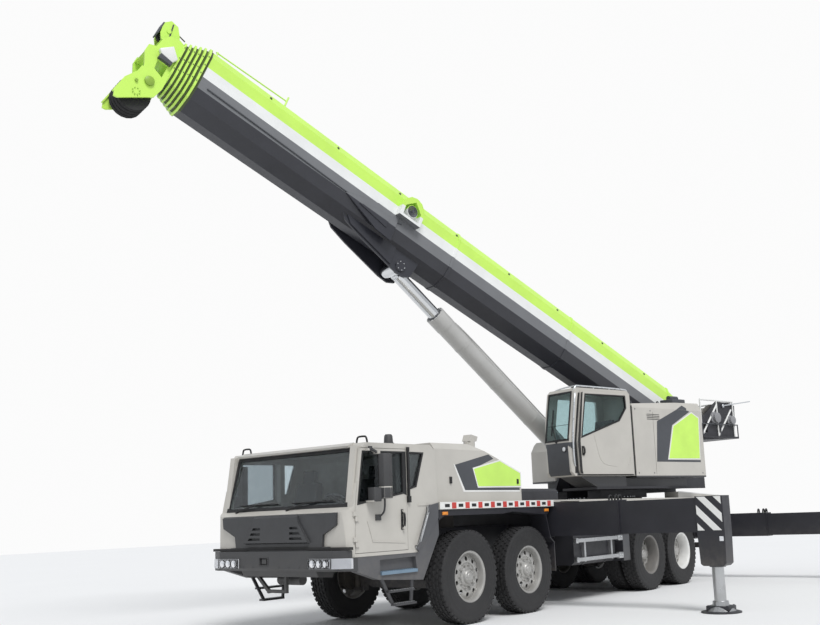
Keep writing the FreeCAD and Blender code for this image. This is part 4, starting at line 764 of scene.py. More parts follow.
def makeFront():
    # headlamp bowls behind clear covers, grille inlays, tow eye and plate bolts
    for tag, sign in (("l", 1), ("r", -1)):
        flip = carrier @ Matrix.Diagonal((1, sign, 1, 1))
        bowls = bmesh.new()
        for y, r in ((0.800, 0.050), (0.925, 0.050), (1.050, 0.050)):
            addTurned(bowls, [(0, 2.652), (r * 0.5, 2.656), (r * 0.9, 2.668), (r, 2.668), (r, 2.640), (0, 2.640)],
                      "x", (0, y, 1.030), 24)
        addPiece("lamp_bowls_" + tag, bowls, "reflector", "carrier", flip)
        rims = bmesh.new()
        for y in (0.800, 0.925, 1.050):
            addTurned(rims, [(0.050, 2.640), (0.058, 2.640), (0.058, 2.670), (0.050, 2.670)], "x", (0, y, 1.030), 24)
        addRing(rims, [(0.724, 0.968), (1.142, 0.968), (1.142, 1.092), (0.724, 1.092)],
                [(0.732, 0.976), (1.134, 0.976), (1.134, 1.084), (0.732, 1.084)], "x", 2.645, 2.662)
        addPiece("lamp_rims_" + tag, rims, "dashPlastic", "carrier", flip)
        cover = bmesh.new()
        addPlate(cover, [(2.6535, 0.722), (2.6535, 1.147), (2.538, 1.390), (2.546, 1.394), (2.680, 1.150),
                         (2.680, 0.722)], "z", 0.966, 1.094)
        addPiece("lamp_cover_" + tag, cover, "clearLens", "carrier", flip)
        lens = bmesh.new()
        addBlock(lens, -9.816, -9.810, 0.775, 0.950, 0.652, 0.748)
        addPiece("tail_amber_" + tag, lens, "amberLens", "carrier", flip)
        lens = bmesh.new()
        addBlock(lens, -9.816, -9.810, 0.965, 1.125, 0.652, 0.748)
        addPiece("tail_red_" + tag, lens, "redLens", "carrier", flip)
        side = bmesh.new()
        for x in (0.560, -2.175):
            addBlock(side, x - 0.048, x + 0.048, 1.371, 1.380, 1.606, 1.640)
        roundEdges(side, 0.004)
        addPiece("side_amber_" + tag, side, "amberLens", "carrier", flip)
    bm = bmesh.new()
    addRing(bm, [(-0.285, 1.002), (-0.095, 1.002), (-0.095, 1.118), (-0.285, 1.118)],
            [(-0.272, 1.012), (-0.108, 1.012), (-0.108, 1.108), (-0.272, 1.108)], "x", 2.600, 2.646)
    for y in (-0.62, -0.42, 0.12, 0.32, 0.52):
        addRod(bm, (2.634, y, 0.985), (2.644, y, 0.985), 0.011, 6)
    addPiece("tow_frame", bm, "dashPlastic", "carrier")
    bm = bmesh.new()
    addPlate(bm, [(-1.392, 1.200), (-1.392, 1.236), (-0.66, 1.236), (-0.60, 1.252), (0.60, 1.252), (0.66, 1.236),
                  (1.392, 1.236), (1.392, 1.200), (0.64, 1.200), (0.58, 1.214), (-0.58, 1.214), (-0.64, 1.200)],
             "x", 2.500, 2.566)
    addPiece("bumper_line", bm, "rubberBlack", "carrier")


makeScreenTrim()
makeCabTrim()
makeBeacon()
makeFront()
print("cab trim done")

# hood, decks and flank: painted panels, marker strip, seams
panelSizes = {"skin": 0.003, "hoodSide": 1.300, "ledgeSide": 1.380, "outline": 0.022}


def panelPair(name, dark, bright, plane, place, body):
    # dark chevron, then a pale outline and the bright panel over it
    bm = bmesh.new()
    addPlate(bm, dark, "y", plane - 0.001, plane + 0.002)
    addPiece(name + "_dark", bm, "graphite", body, place)
    bm = bmesh.new()
    addPlate(bm, insetLoop(bright, -panelSizes["outline"]), "y", plane - 0.001, plane + 0.0035)
    addPiece(name + "_outline", bm, "whitePaint", body, place)
    bm = bmesh.new()
    addPlate(bm, bright, "y", plane - 0.001, plane + 0.005)
    addPiece(name + "_bright", bm, "limePaint", body, place)


def makePanels():
    for tag, sign in (("l", 1), ("r", -1)):
        flip = carrier @ Matrix.Diagonal((1, sign, 1, 1))
        plane = panelSizes["hoodSide"]
        hoodDark = [(0.20, 2.34), (-0.67, 2.52), (-0.80, 2.455), (-0.27, 2.29), (-0.38, 2.00), (-1.50, 2.00),
                    (-1.50, 1.96), (-0.03, 1.96)]
        hoodPale = [(0.235, 2.355), (0.20, 2.34), (-0.03, 1.96), (-1.50, 1.96), (-1.50, 1.935), (0.01, 1.935)]
        panelPair("hood_" + tag, hoodDark, [(-0.27, 2.285), (-0.97, 2.42), (-1.53, 2.235), (-1.53, 2.03),
                                            (-0.37, 2.02)], plane, flip, "carrier")
        bm = bmesh.new()
        addPlate(bm, hoodPale, "y", plane - 0.001, plane + 0.0025)
        addPiece("hood_line_" + tag, bm, "whitePaint", "carrier", flip)
        # marker strip along the ledge
        plane = panelSizes["ledgeSide"]
        bm = bmesh.new()
        addBlock(bm, -2.390, 0.686, plane - 0.001, plane + 0.003, 1.684, 1.786)
        addPiece("strip_white_" + tag, bm, "whitePaint", "carrier", flip)
        red, dots = bmesh.new(), bmesh.new()
        count = 9
        for i in range(count):
            x = 0.52 - i * 0.325
            addBlock(red, x - 0.215, x - 0.110, plane - 0.001, plane + 0.0045, 1.690, 1.780)
            addBlock(dots, x - 0.055, x + 0.055, plane - 0.001, plane + 0.006, 1.712, 1.758)
        addPiece("strip_red_" + tag, red, "redPaint", "carrier", flip)
        addPiece("strip_slots_" + tag, dots, "rubberBlack", "carrier", flip)
        bm = bmesh.new()
        addPlate(bm, [(-7.55, 1.930), (-9.75, 1.840), (-9.75, 1.818), (-7.55, 1.908)], "y", 1.299, 1.304)
        addPiece("deck_line_" + tag, bm, "whitePaint", "carrier", flip)
        # bright end brackets on the guard rails, and the pale cover ahead of axle 3
        bm = bmesh.new()
        for z in (0.740, 1.070):
            addBlock(bm, -4.810, -4.640, 1.292, 1.362, z - 0.056, z + 0.056)
            addBlock(bm, -3.190, -3.110, 1.294, 1.358, z - 0.046, z + 0.046)
        roundEdges(bm, 0.008)
        for z in (0.740, 1.070):
            for x in (-4.770, -4.680):
                addRod(bm, (x, 1.358, z), (x, 1.372, z), 0.020, 12)
        addPiece("rail_ends_" + tag, bm, "bareSteel", "carrier", flip)
        bm = bmesh.new()
        addBlock(bm, -5.172, -4.908, 1.2995, 1.306, 0.630, 1.192)
        for x in (-5.150, -4.930):
            for z in (0.66, 0.91, 1.16):
                addRod(bm, (x, 1.304, z), (x, 1.312, z), 0.010, 6)
        addPiece("side_cover_" + tag, bm, "graphite", "carrier", flip)
    # hood lid seam, latches and top grille
    bm = bmesh.new()
    for y in (-0.62, 0.62):
        addBlock(bm, -0.20, 0.66, y - 0.006, y + 0.006, 2.655, 2.668)
    addPiece("hood_lid_seams", bm, "rubberBlack", "carrier")
    bm = bmesh.new()
    for i in range(14):
        y = -0.52 + 0.08 * i
        addBlock(bm, -0.10, 0.56, y - 0.020, y + 0.020, 2.655, 2.672)
    addPiece("hood_grille", bm, "graphite", "carrier")
    bm = bmesh.new()
    addBlock(bm, 0.300, 0.345, 1.296, 1.322, 2.06, 2.16)
    addBlock(bm, -1.46, -1.42, 1.296, 1.322, 2.06, 2.14)
    mirrorY(bm)
    roundEdges(bm, 0.004)
    addPiece("hood_latches", bm, "rubberBlack", "carrier")
    # walkway plates' raised pattern on both deck sides
    bm = bmesh.new()
    row = 0
    for i in range(52):
        x = -3.35 - i * 0.118
        for k in range(3):
            y = 0.98 + 0.115 * k + (0.05 if i % 2 else 0)
            turn = Matrix.Rotation(math.radians(45 if (i + k) % 2 else -45), 4, "Z")
            bmesh.ops.create_cube(bm, size=1.0, matrix=Matrix.Translation((x, y, 1.791)) @ turn @
                                  Matrix.Diagonal((0.060, 0.014, 0.006, 1)))
        row += 1
    mirrorY(bm)
    addPiece("deck_studs", bm, "chassisBlack", "carrier", doubles=False)


makePanels()
print("panels done")

# outriggers: warning stripes, feet, hose loops, bolts
outriggerSizes = {"houseHalf": 0.140, "frontL": -2.545, "frontR": -2.925, "rearL": -9.230, "rearR": -9.600,
                  "padRadius": 0.300, "stripe": 0.135}


def makeOutriggers():
    s = outriggerSizes
    for place, x, sign, top, under in (("front_l", s["frontL"], 1, 1.740, 1.180), ("front_r", s["frontR"], -1, 1.740, 1.180),
                                       ("rear_l", s["rearL"], 1, 1.400, 0.900), ("rear_r", s["rearR"], -1, 1.400, 0.900)):
        flip = carrier @ Matrix.Diagonal((1, sign, 1, 1))
        ahead = 1 if place.startswith("front") else -1
        face = x + ahead * s["houseHalf"]
        bm = bmesh.new()
        rect = (3.935, 4.335, top - 0.520, top - 0.010)
        for i in range(5):
            low = rect[0] + rect[2] - 0.02 + i * 2 * s["stripe"]
            shape = cutBand(rect, low, low + s["stripe"])
            if len(shape) > 2:
                addPlate(bm, shape, "x", min(face, face + ahead * 0.003), max(face, face + ahead * 0.003))
        addPiece("stripes_" + place, bm, "whitePaint", "beam2_" + place, flip)
        bm = bmesh.new()
        addBlock(bm, min(face, face + ahead * 0.006), max(face, face + ahead * 0.006), 4.270, 4.335, 1.060 - (1.74 - top),
                 1.130 - (1.74 - top))
        addPiece("reflex_" + place, bm, "reflector", "beam2_" + place, flip)
        # foot: boxy socket over a round plate
        bm = bmesh.new()
        addTurned(bm, [(0, 0.000), (s["padRadius"], 0.000), (s["padRadius"], 0.018), (s["padRadius"] - 0.03, 0.026),
                       (0, 0.030)], "z", (x, 4.145, 0), 40)
        stem = bmesh.new()
        addBlock(stem, x - 0.150, x + 0.150, 3.965, 4.325, 0.024, 0.104)
        roundEdges(stem, 0.012, 2)
        data = bpy.data.meshes.new("stem")
        stem.to_mesh(data)
        stem.free()
        bm.from_mesh(data)
        bpy.data.meshes.remove(data)
        for dx, dy in ((0.125, 0.15), (-0.125, 0.15), (0.125, -0.15), (-0.125, -0.15)):
            addRod(bm, (x + dx, 4.145 + dy, 0.098), (x + dx, 4.145 + dy, 0.111), 0.014, 6)
        addPiece("foot_" + place, bm, "turntableBlack", "jack_" + place, flip)
        # collar and wiper ring where the rod leaves the house
        bm = bmesh.new()
        addTurned(bm, [(0.0915, 0.672), (0.118, 0.672), (0.124, 0.680), (0.124, 0.705), (0.0915, 0.705)], "z",
                  (x, 4.145, 0), 32)
        addPiece("jack_gland_" + place, bm, "graphite", "beam2_" + place, flip)
        # tip collar of the first stage with its bolts
        bm = bmesh.new()
        addRing(bm, [(x - 0.153, under - 0.002), (x + 0.153, under - 0.002), (x + 0.153, top + 0.004),
                     (x - 0.153, top + 0.004)],
                [(x - 0.1265, under + 0.0165), (x + 0.1265, under + 0.0165), (x + 0.1265, top - 0.0165),
                 (x - 0.1265, top - 0.0165)], "y", 2.5965, 2.606)
        addPiece("stage_collar_" + place, bm, "chassisBlack", "beam1_" + place, flip)
        bm = bmesh.new()
        for y in (2.39, 2.50, 2.56):
            r = 0.055
            addPipe(bm, [(x + 0.05, y, top - 0.004), (x + 0.05, y, top + r), (x, y, top + r + 0.03),
                         (x - 0.05, y, top + r), (x - 0.05, y, top - 0.004)], 0.016, 10)
        loops = addPiece("hose_loops_" + place, bm, "rubberBlack", "beam1_" + place, flip)
        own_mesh(loops)
        bm = bmesh.new()
        for y in (2.36, 2.53):
            addBlock(bm, x - 0.09, x + 0.09, y, y + 0.05, top - 0.002, top + 0.003)
        addPiece("hose_clamps_" + place, bm, "bareSteel", "beam1_" + place, flip)
        # wear pads and bolts on the box that holds the beams
        bm = bmesh.new()
        for side in (1, -1):
            f = x + side * (0.145 + 0.006 + 0.028)
            for z in (under + 0.10, top - 0.10):
                for y in (0.80, 0.88):
                    addRod(bm, (f - side * 0.002, y, z), (f + side * 0.014, y, z), 0.016, 6)
        addPiece("box_bolts_" + place, bm, "graphite", "carrier", flip)


makeOutriggers()
print("outriggers done")

# operator's cab, housings and turntable
cabinSizes = {"near": 1.350, "far": 0.620, "front": 2.236, "corner": 0.110, "doorFace": 1.398}
cabinSlope = (Vector((2.062, 0, 3.880)) - Vector((2.236, 0, 2.900))).normalized()
cabinOut = Vector((cabinSlope.z, 0, -cabinSlope.x))
cabinScreen = upper @ Matrix.Translation((2.236, 0, 2.900)) @ Matrix(
    ((0, cabinSlope.x, cabinOut.x), (1, cabinSlope.y, cabinOut.y), (0, cabinSlope.z, cabinOut.z))).to_4x4()


def bibRing(z, x, grow):
    # plan of the cab's front end at one height, walked round the outside and back inside
    s = cabinSizes
    r = s["corner"] + grow
    near, far = s["near"] + grow, s["far"] - grow
    path = [(1.985, near)]
    for i in range(7):
        a = math.radians(90 - 15 * i)
        path.append((x + grow - r + r * math.cos(a), near - r + r * math.sin(a)))
    for i in range(7):
        a = math.radians(-15 * i)
        path.append((x + grow - r + r * math.cos(a), far + r + r * math.sin(a)))
    path.append((1.985, far))
    back = [(px - (0.012 if px > 2.0 else 0), py + (-0.008 if py > 0.98 else 0.008)) for px, py in reversed(path)]
    return [(px, py, z) for px, py in path + back]


def makeCabin():
    s = cabinSizes
    bm = bmesh.new()
    addLoft(bm, [bibRing(2.262, 2.163, 0.004), bibRing(2.330, 2.212, 0.004), bibRing(2.885, 2.2355, 0.004)])
    addPiece("cabin_bib", bm, "graphite", "upper", upper)
    edge = [(0.690, 0.0458), (1.270, 0.0458), (1.270, 0.9649), (0.690, 0.9649)]
    bm = bmesh.new()
    addRing(bm, insetLoop(edge, -0.030), insetLoop(edge, 0.006), "z", -0.010, 0.006)
    addBlock(bm, 0.700, 1.260, 0.330, 0.336, -0.004, 0.004)
    addPiece("cabin_screen_frame", bm, "rubberBlack", "upper", cabinScreen)
    bm = bmesh.new()
    addTurned(bm, [(0, -0.002), (0.024, -0.002), (0.024, 0.020), (0, 0.026)], "z", (0.98, 0.010, 0), 14)
    addRod(bm, (0.98, 0.010, 0.018), (0.84, 0.40, 0.030), 0.009, 8)
    addBlock(bm, 0.832, 0.848, 0.14, 0.66, -0.003, 0.022)
    addPiece("cabin_wiper", bm, "rubberBlack", "upper", cabinScreen)
    # round work lamp on the bib's corner
    for name, y, z in (("near", 1.185, 2.760),):
        bm = bmesh.new()
        addTurned(bm, [(0, 2.215), (0.050, 2.215), (0.056, 2.225), (0.056, 2.262), (0.050, 2.262), (0.045, 2.252),
                       (0, 2.252)], "x", (0, y, z), 24)
        addPiece("cabin_lamp_" + name, bm, "dashPlastic", "upper", upper)
        bm = bmesh.new()
        addTurned(bm, [(0, 2.250), (0.044, 2.250), (0.044, 2.256), (0.030, 2.262), (0, 2.265)], "x", (0, y, z), 24)
        addPiece("cabin_lens_" + name, bm, "lensWhite", "upper", upper)
    # door: dark leading strip, window frame, handle, crease, runner
    face = s["doorFace"]
    window = [(1.960, 2.990), (1.800, 3.815), (0.650, 3.830), (0.640, 3.600), (0.860, 3.340)]
    bm = bmesh.new()
    addRing(bm, insetLoop(window, -0.020), insetLoop(window, 0.008), "y", face - 0.034, face + 0.005)
    addPlate(bm, [(2.040, 2.285), (2.063, 2.330), (2.081, 2.900), (1.913, 3.848), (1.868, 3.862), (1.880, 3.790),
                  (2.012, 2.900), (2.000, 2.340), (1.985, 2.285)], "y", face - 0.001, face + 0.005)
    addPiece("cabin_door_trim", bm, "rubberBlack", "operator_door", upper)
    bm = bmesh.new()
    addBlock(bm, 1.922, 1.986, face - 0.001, face + 0.018, 2.630, 2.810)
    roundEdges(bm, 0.006)
    addPipe(bm, [(1.955, face + 0.012, 2.655), (1.955, face + 0.044, 2.662), (1.955, face + 0.046, 2.720),
                 (1.955, face + 0.044, 2.778), (1.955, face + 0.012, 2.785)], 0.0165, 10)
    addPiece("cabin_handle", bm, "rubberBlack", "operator_door", upper)
    bm = bmesh.new()
    addPipe(bm, [(1.62, face, 3.04), (1.52, face, 2.66), (1.44, face, 2.50), (1.25, face, 2.44), (1.02, face, 2.43)],
            0.0055, 8)
    addPipe(bm, [(0.60, face, 2.62), (0.60, face, 2.50), (0.66, face, 2.46)], 0.0055, 8)
    addPiece("cabin_crease", bm, "upperGrey", "operator_door", upper)
    bm = bmesh.new()
    addBlock(bm, 0.46, 2.10, s["near"] - 0.002, s["near"] + 0.0055, 2.252, 2.272)
    addPiece("cabin_runner", bm, "rubberBlack", "upper", upper)
    # dark corner band, bright bar at the corner, guard rail round the roof
    bm = bmesh.new()
    addPlate(bm, [(2.150, 2.300), (2.126, 2.900), (1.985, 3.700), (1.950, 3.850), (1.890, 3.850), (2.066, 2.900),
                  (2.050, 2.300)], "y", s["near"] - 0.002, s["near"] + 0.0045)
    addPiece("cabin_band", bm, "rubberBlack", "upper", upper)
    bm = bmesh.new()
    addPipe(bm, [(2.120, 1.335, 2.420), (2.178, 1.372, 2.450), (2.192, 1.376, 2.900), (2.150, 1.376, 3.300),
                 (2.072, 1.376, 3.780), (2.020, 1.340, 3.840)], 0.016, 10)
    addPipe(bm, [(2.030, 1.300, 3.880), (1.985, 1.312, 3.985), (1.900, 1.312, 3.992), (0.560, 1.312, 3.992),
                 (0.470, 1.312, 3.965), (0.462, 1.312, 3.880)], 0.018, 10)
    addPipe(bm, [(1.960, 1.300, 3.988), (1.960, 0.690, 3.988), (1.960, 0.670, 3.900)], 0.014, 10)
    for x in (1.46, 1.00):
        addRod(bm, (x, 1.312, 3.880), (x, 1.312, 3.990), 0.012, 8)
    addPiece("cabin_rails", bm, "silverRail", "upper", upper)


def makeHousings():
    near = 1.350
    bm = bmesh.new()
    addBlock(bm, 0.386, 0.434, 0.700, 1.338, 2.255, 3.660)
    addPiece("housing_seam", bm, "rubberBlack", "upper", upper)
    dark = [(-0.38, 3.37), (-0.29, 2.53), (-1.76, 2.53), (-1.76, 2.572), (-0.645, 2.572), (-0.87, 3.305),
            (-1.50, 3.615), (-1.40, 3.639), (-1.052, 3.639)]
    panelPair("housing", dark, [(-0.69, 2.60), (-0.91, 3.28), (-1.56, 3.585), (-1.79, 3.48), (-1.73, 2.61)], near,
              upper, "upper")
    # tip of the chevron on the sloping shoulder
    run = (Vector((0, 1.290, 3.790)) - Vector((0, 1.350, 3.640))).normalized()
    lift = Vector((0, -run.z, run.y)) * -1
    shoulder = upper @ Matrix.Translation((0, 1.350, 3.640)) @ Matrix(
        ((1, 0, 0), (0, run.y, lift.y), (0, run.z, lift.z))).to_4x4()
    bm = bmesh.new()
    addPlate(bm, [(-1.052, 0.002), (-1.30, 0.112), (-1.42, 0.052), (-1.40, 0.002)], "z", -0.001, 0.002)
    addPiece("housing_tip", bm, "graphite", "upper", shoulder)
    # right-hand housing wears the same pair of panels
    bm = bmesh.new()
    addPlate(bm, [(-0.38, 3.05), (-0.29, 2.42), (-1.76, 2.42), (-1.76, 2.46), (-0.65, 2.46), (-0.82, 2.98),
                  (-1.30, 3.05)], "y", -1.352, -1.349)
    addPiece("housing_right_dark", bm, "graphite", "upper", upper)
    bm = bmesh.new()
    addPlate(bm, [(-1.42, 2.48), (-1.42, 3.02), (-1.76, 3.02), (-1.74, 2.48)], "y", -1.355, -1.349)
    addPiece("housing_right_bright", bm, "limePaint", "upper", upper)
    # dark unit on the shoulder's rear end, exhaust mesh and lifting eyes
    bm = bmesh.new()
    addBlock(bm, -1.58, -1.14, 0.86, 1.20, 3.795, 3.900)
    roundEdges(bm, 0.015)
    addRod(bm, (-1.50, 1.03, 3.93), (-1.22, 1.03, 3.93), 0.055, 20)
    addPiece("shoulder_unit", bm, "graphite", "upper", upper)
    bm = bmesh.new()
    for x in (-0.10, -1.00):
        addPipe(bm, [(x, 0.86, 3.700), (x, 0.86, 3.840 + (0.02 if x < -0.5 else -0.02)),
                     (x, 0.94, 3.850 + (0.02 if x < -0.5 else -0.02)), (x, 0.94, 3.700)], 0.014, 10)
    addPiece("lifting_eyes", bm, "graphite", "upper", upper)
    bm = bmesh.new()
    for i in range(4):
        z = 3.500 - 0.034 * i
        addPlate(bm, [(z + 0.001, 1.331), (z + 0.015, 1.331), (z + 0.009, 1.349), (z + 0.003, 1.349)][::-1] and
                 [(1.331, z + 0.001), (1.331, z + 0.015), (1.347, z + 0.004)], "x", -0.468, -0.062)
    addPiece("housing_louvre", bm, "graphite", "upper", upper)
    bm = bmesh.new()
    for x, z in ((-0.18, 2.30), (-1.80, 2.30), (-0.18, 3.58), (0.30, 2.30), (0.30, 3.60)):
        addRod(bm, (x, 1.349, z), (x, 1.356, z), 0.012, 12)
    addPiece("housing_screws", bm, "graphite", "upper", upper)


def makeTurntable():
    # bolt circle on the ring, hoses to the swivel, pin caps and plate stiffeners
    bm = bmesh.new()
    for i in range(48):
        a = math.tau * i / 48
        x, y = 0.745 * math.cos(a), 0.745 * math.sin(a)
        addRod(bm, (x, y, 1.834), (x, y, 1.858), 0.015, 6)
    addPiece("ring_bolts", bm, "bareSteel", "upper", upper)
    bm = bmesh.new()
    for i in range(60):
        a = math.tau * (i + 0.5) / 60
        x, y = 0.846 * math.cos(a), 0.846 * math.sin(a)
        bmesh.ops.create_cube(bm, size=1.0, matrix=carrier @ Matrix.Translation((-6.5 + x, y, 1.806)) @
                              Matrix.Rotation(a, 4, "Z") @ Matrix.Diagonal((0.030, 0.024, 0.030, 1)))
    addRing(bm, [(3.4971 - 6.5 + 0.838 * math.cos(math.tau * i / 64), 0.838 * math.sin(math.tau * i / 64))
                 for i in range(64)],
            [(3.4971 - 6.5 + 0.824 * math.cos(math.tau * i / 64), 0.824 * math.sin(math.tau * i / 64))
             for i in range(64)], "z", 1.760, 1.828)
    addPiece("ring_teeth", bm, "castIron", "carrier", Matrix.Identity(4), doubles=False)
    bm = bmesh.new()
    for side in (1, -1):
        for r, n, x, z in ((0.118, 6, -2.45, 3.30), (0.095, 6, 0.36, 2.25)):
            y = 0.575 if n == 6 and x < 0 else 0.550
            for i in range(n):
                a = math.tau * i / n
                addRod(bm, (x + r * math.cos(a), side * (y - 0.004), z + r * math.sin(a)),
                       (x + r * math.cos(a), side * (y + 0.016), z + r * math.sin(a)), 0.014, 6)
    addPiece("pin_bolts", bm, "bareSteel", "upper", upper)
    bm = bmesh.new()
    for k, y in enumerate((-0.34, -0.37, 0.34, 0.37)):
        addPipe(bm, [(-0.62, y, 2.06), (-1.10, y, 2.36), (-1.72, y, 2.40), (-2.06, y * 1.02, 2.56),
                     (-2.10, y * 1.04, 2.74)], 0.017, 10)
    addPiece("hydraulic_pipes", bm, "rubberBlack", "upper", upper)
    # winch bay: rails, diagonal braces, motors and slim bar behind
    bm = bmesh.new()
    for side in (1, -1):
        y = side * 0.535
        addRod(bm, (-3.02, y, 3.22), (-3.66, y, 3.96), 0.022, 10)
        addRod(bm, (-3.66, y, 3.22), (-4.22, y, 3.86), 0.022, 10)
        addRod(bm, (-3.02, y, 4.06), (-4.30, y, 4.06), 0.020, 10)
        for x in (-3.02, -3.66, -4.30):
            addRod(bm, (x, y, 3.20), (x, y, 4.06), 0.018, 10)
    addRod(bm, (-4.30, -0.535, 4.06), (-4.30, 0.535, 4.06), 0.020, 10)
    addPiece("winch_guard", bm, "whitePaint", "upper", upper)
    bm = bmesh.new()
    for x, z, r in ((-3.54, 3.64, 0.150), (-4.15, 3.60, 0.125)):
        for side in (1, -1):
            addTurned(bm, [(0, 0.515), (r, 0.515), (r, 0.560), (r * 0.8, 0.575), (r * 0.8, 0.640), (r * 0.55, 0.655),
                           (0, 0.655)] if side > 0 else
                      [(0, -0.655), (r * 0.55, -0.655), (r * 0.8, -0.640), (r * 0.8, -0.575), (r, -0.560),
                       (r, -0.515), (0, -0.515)], "y", (x, 0, z), 28)
            for i in range(8):
                a = math.tau * i / 8
                px, pz = x + r * 0.88 * math.cos(a), z + r * 0.88 * math.sin(a)
                addRod(bm, (px, side * 0.555, pz), (px, side * 0.576, pz), 0.011, 6)
    addPiece("winch_motors", bm, "midGrey", "upper", upper)
    bm = bmesh.new()
    addRod(bm, (-3.86, 0.550, 3.94), (-5.02, 0.550, 4.098), 0.014, 10)
    addRod(bm, (-3.90, 0.550, 3.90), (-3.90, 0.550, 3.98), 0.026, 12)
    addPiece("rear_bar", bm, "silverRail", "upper", upper)
    bm = bmesh.new()
    for x in (-3.00, -3.70, -4.38):
        addRod(bm, (x, -0.575, 3.204), (x, -0.575, 3.50), 0.014, 8)
        addRod(bm, (x, 0.575, 3.204), (x, 0.575, 3.50), 0.014, 8)
    addRod(bm, (-3.00, -0.575, 3.49), (-4.38, -0.575, 3.49), 0.014, 8)
    addRod(bm, (-3.00, 0.575, 3.49), (-4.38, 0.575, 3.49), 0.014, 8)
    addPiece("winch_rails", bm, "graphite", "upper", upper)


def ropeWraps(bm, centre, radius, half, rope):
    # wound rope as a ridged form on the drum
    count = int(2 * half / (rope * 2))
    outline = [(radius - 0.02, -half)]
    for i in range(count):
        y = -half + rope * 2 * (i + 0.5)
        outline += [(radius + rope * 0.2, y - rope * 0.98), (radius + rope, y - rope * 0.5),
                    (radius + rope * 1.25, y), (radius + rope, y + rope * 0.5)]
    outline += [(radius + rope * 0.2, half), (radius - 0.02, half)]
    addTurned(bm, outline, "y", centre, 40)


def makeRopes():
    bm = bmesh.new()
    ropeWraps(bm, (-3.54, 0, 3.64), 0.250, 0.420, 0.012)
    addPiece("rope_main", bm, "ropeSteel", "winch_main", upper, smooth=60)
    bm = bmesh.new()
    ropeWraps(bm, (-4.15, 0, 3.60), 0.192, 0.420, 0.011)
    addPiece("rope_aux", bm, "ropeSteel", "winch_aux", upper, smooth=60)


makeCabin()
makeHousings()
makeTurntable()
makeRopes()
print("upper works done")

# boom: pads, studs, pipes, top rod, head fittings, ropes along the top
boomSizes = {"length": 12.940, "half": 0.420, "side": -0.040, "top": 0.752, "crown": 0.330, "tip": 13.340,
             "sections": 5, "step": 0.027, "ring": 0.072}


def makeBoom():
    s = boomSizes
    bm = bmesh.new()
    for side in (1, -1):
        for k in range(8):
            spot = Vector((1.6 + 1.45 * k, side * 0.386, 0.668))
            out = Vector((0, side * 0.857, 0.515))
            addRod(bm, spot - out * 0.004, spot + out * 0.012, 0.022, 14)
    addPiece("boom_studs", bm, "graphite", "boom_base", boom)
    # thin rod over the top with its posts
    bm = bmesh.new()
    addRod(bm, (11.45, 0.260, 0.900), (12.86, 0.260, 0.845), 0.012, 10)
    addRod(bm, (11.45, 0.260, 0.748), (11.45, 0.260, 0.990), 0.016, 10)
    addRod(bm, (12.83, 0.260, 0.760), (12.83, 0.260, 0.862), 0.014, 10)
    addBlock(bm, 11.40, 11.50, 0.235, 0.285, 0.744, 0.766)
    addPiece("boom_top_rod", bm, "limePaint", "boom_base", boom)
    # rope guides and the two ropes along the top
    bm = bmesh.new()
    for k in range(5):
        x = 1.9 + 2.6 * k
        addBlock(bm, x, x + 0.05, -0.150, 0.150, 0.746, 0.768)
        for y in (-0.11, 0.0, 0.11):
            addBlock(bm, x, x + 0.05, y - 0.014, y + 0.014, 0.760, 0.806)
    addPiece("rope_guides", bm, "graphite", "boom_base", boom)
    bm = bmesh.new()
    for y in (-0.052, 0.052):
        addRod(bm, (0.92, y, 0.786), (12.975, y, 0.786), 0.011, 8)
    addPiece("ropes_top", bm, "ropeSteel", "boom_base", boom)
    bm = bmesh.new()
    for y in (-0.052, 0.052):
        addRod(bm, (13.33, y, 0.786), (13.60, y, 0.846), 0.011, 8)
    addPiece("ropes_head", bm, "ropeSteel", "boom_5", boom)
    # lift pin caps, cylinder guide bands and hose reel plate
    bm = bmesh.new()
    for side in (1, -1):
        for i in range(6):
            a = math.tau * i / 6
            spot = Vector((8.260 + 0.082 * math.cos(a), side * 0.286, -0.550 + 0.082 * math.sin(a)))
            addRod(bm, spot, spot + Vector((0, side * 0.016, 0)), 0.012, 6)
    addPiece("lug_bolts", bm, "bareSteel", "boom_base", boom)
    bm = bmesh.new()
    for i in range(5):
        r = 0.110 - 0.016 * i
        addTurned(bm, [(r - 0.011, 0.540), (r, 0.540), (r, 0.556), (r - 0.011, 0.556)], "y", (8.56, 0, 0.40), 28)
    addRod(bm, (8.56, 0.545, 0.40), (8.56, 0.572, 0.40), 0.030, 16)
    addPiece("reel_face", bm, "graphite", "boom_base", boom)
    bm = bmesh.new()
    addPipe(bm, [(8.62, 0.428, 0.10), (8.90, 0.432, 0.02), (9.60, 0.432, -0.02), (11.20, 0.432, 0.02),
                 (12.75, 0.432, 0.04)], 0.011, 8)
    addPiece("boom_side_pipe", bm, "graphite", "boom_base", boom)
    # wear-pad screws on each section's ring
    bm = bmesh.new()
    for side in (1, -1):
        for t in (0.05, 0.22, 0.39, 0.56):
            addRod(bm, (12.957, side * 0.440, t), (12.957, side * 0.452, t), 0.010, 6)
    addPiece("collar_screws", bm, "graphite", "boom_base", boom)
    for n in range(1, 6):
        tip = 12.940 + 0.034 + 0.006 + 0.072 * n
        half = 0.420 - 0.027 * n + 0.022
        bm = bmesh.new()
        for side in (1, -1):
            for t in (0.08, 0.30, 0.52):
                addRod(bm, (tip - 0.017, side * (half - 0.004), t), (tip - 0.017, side * (half + 0.008), t), 0.009, 6)
            addBlock(bm, tip - 0.032, tip - 0.002, side * 0.12 - 0.03, side * 0.12 + 0.03, 0.752 - 0.027 * n + 0.018,
                     0.752 - 0.027 * n + 0.034)
        addPiece("ring_pads_%d" % n, bm, "graphite", "boom_%d" % n, boom)


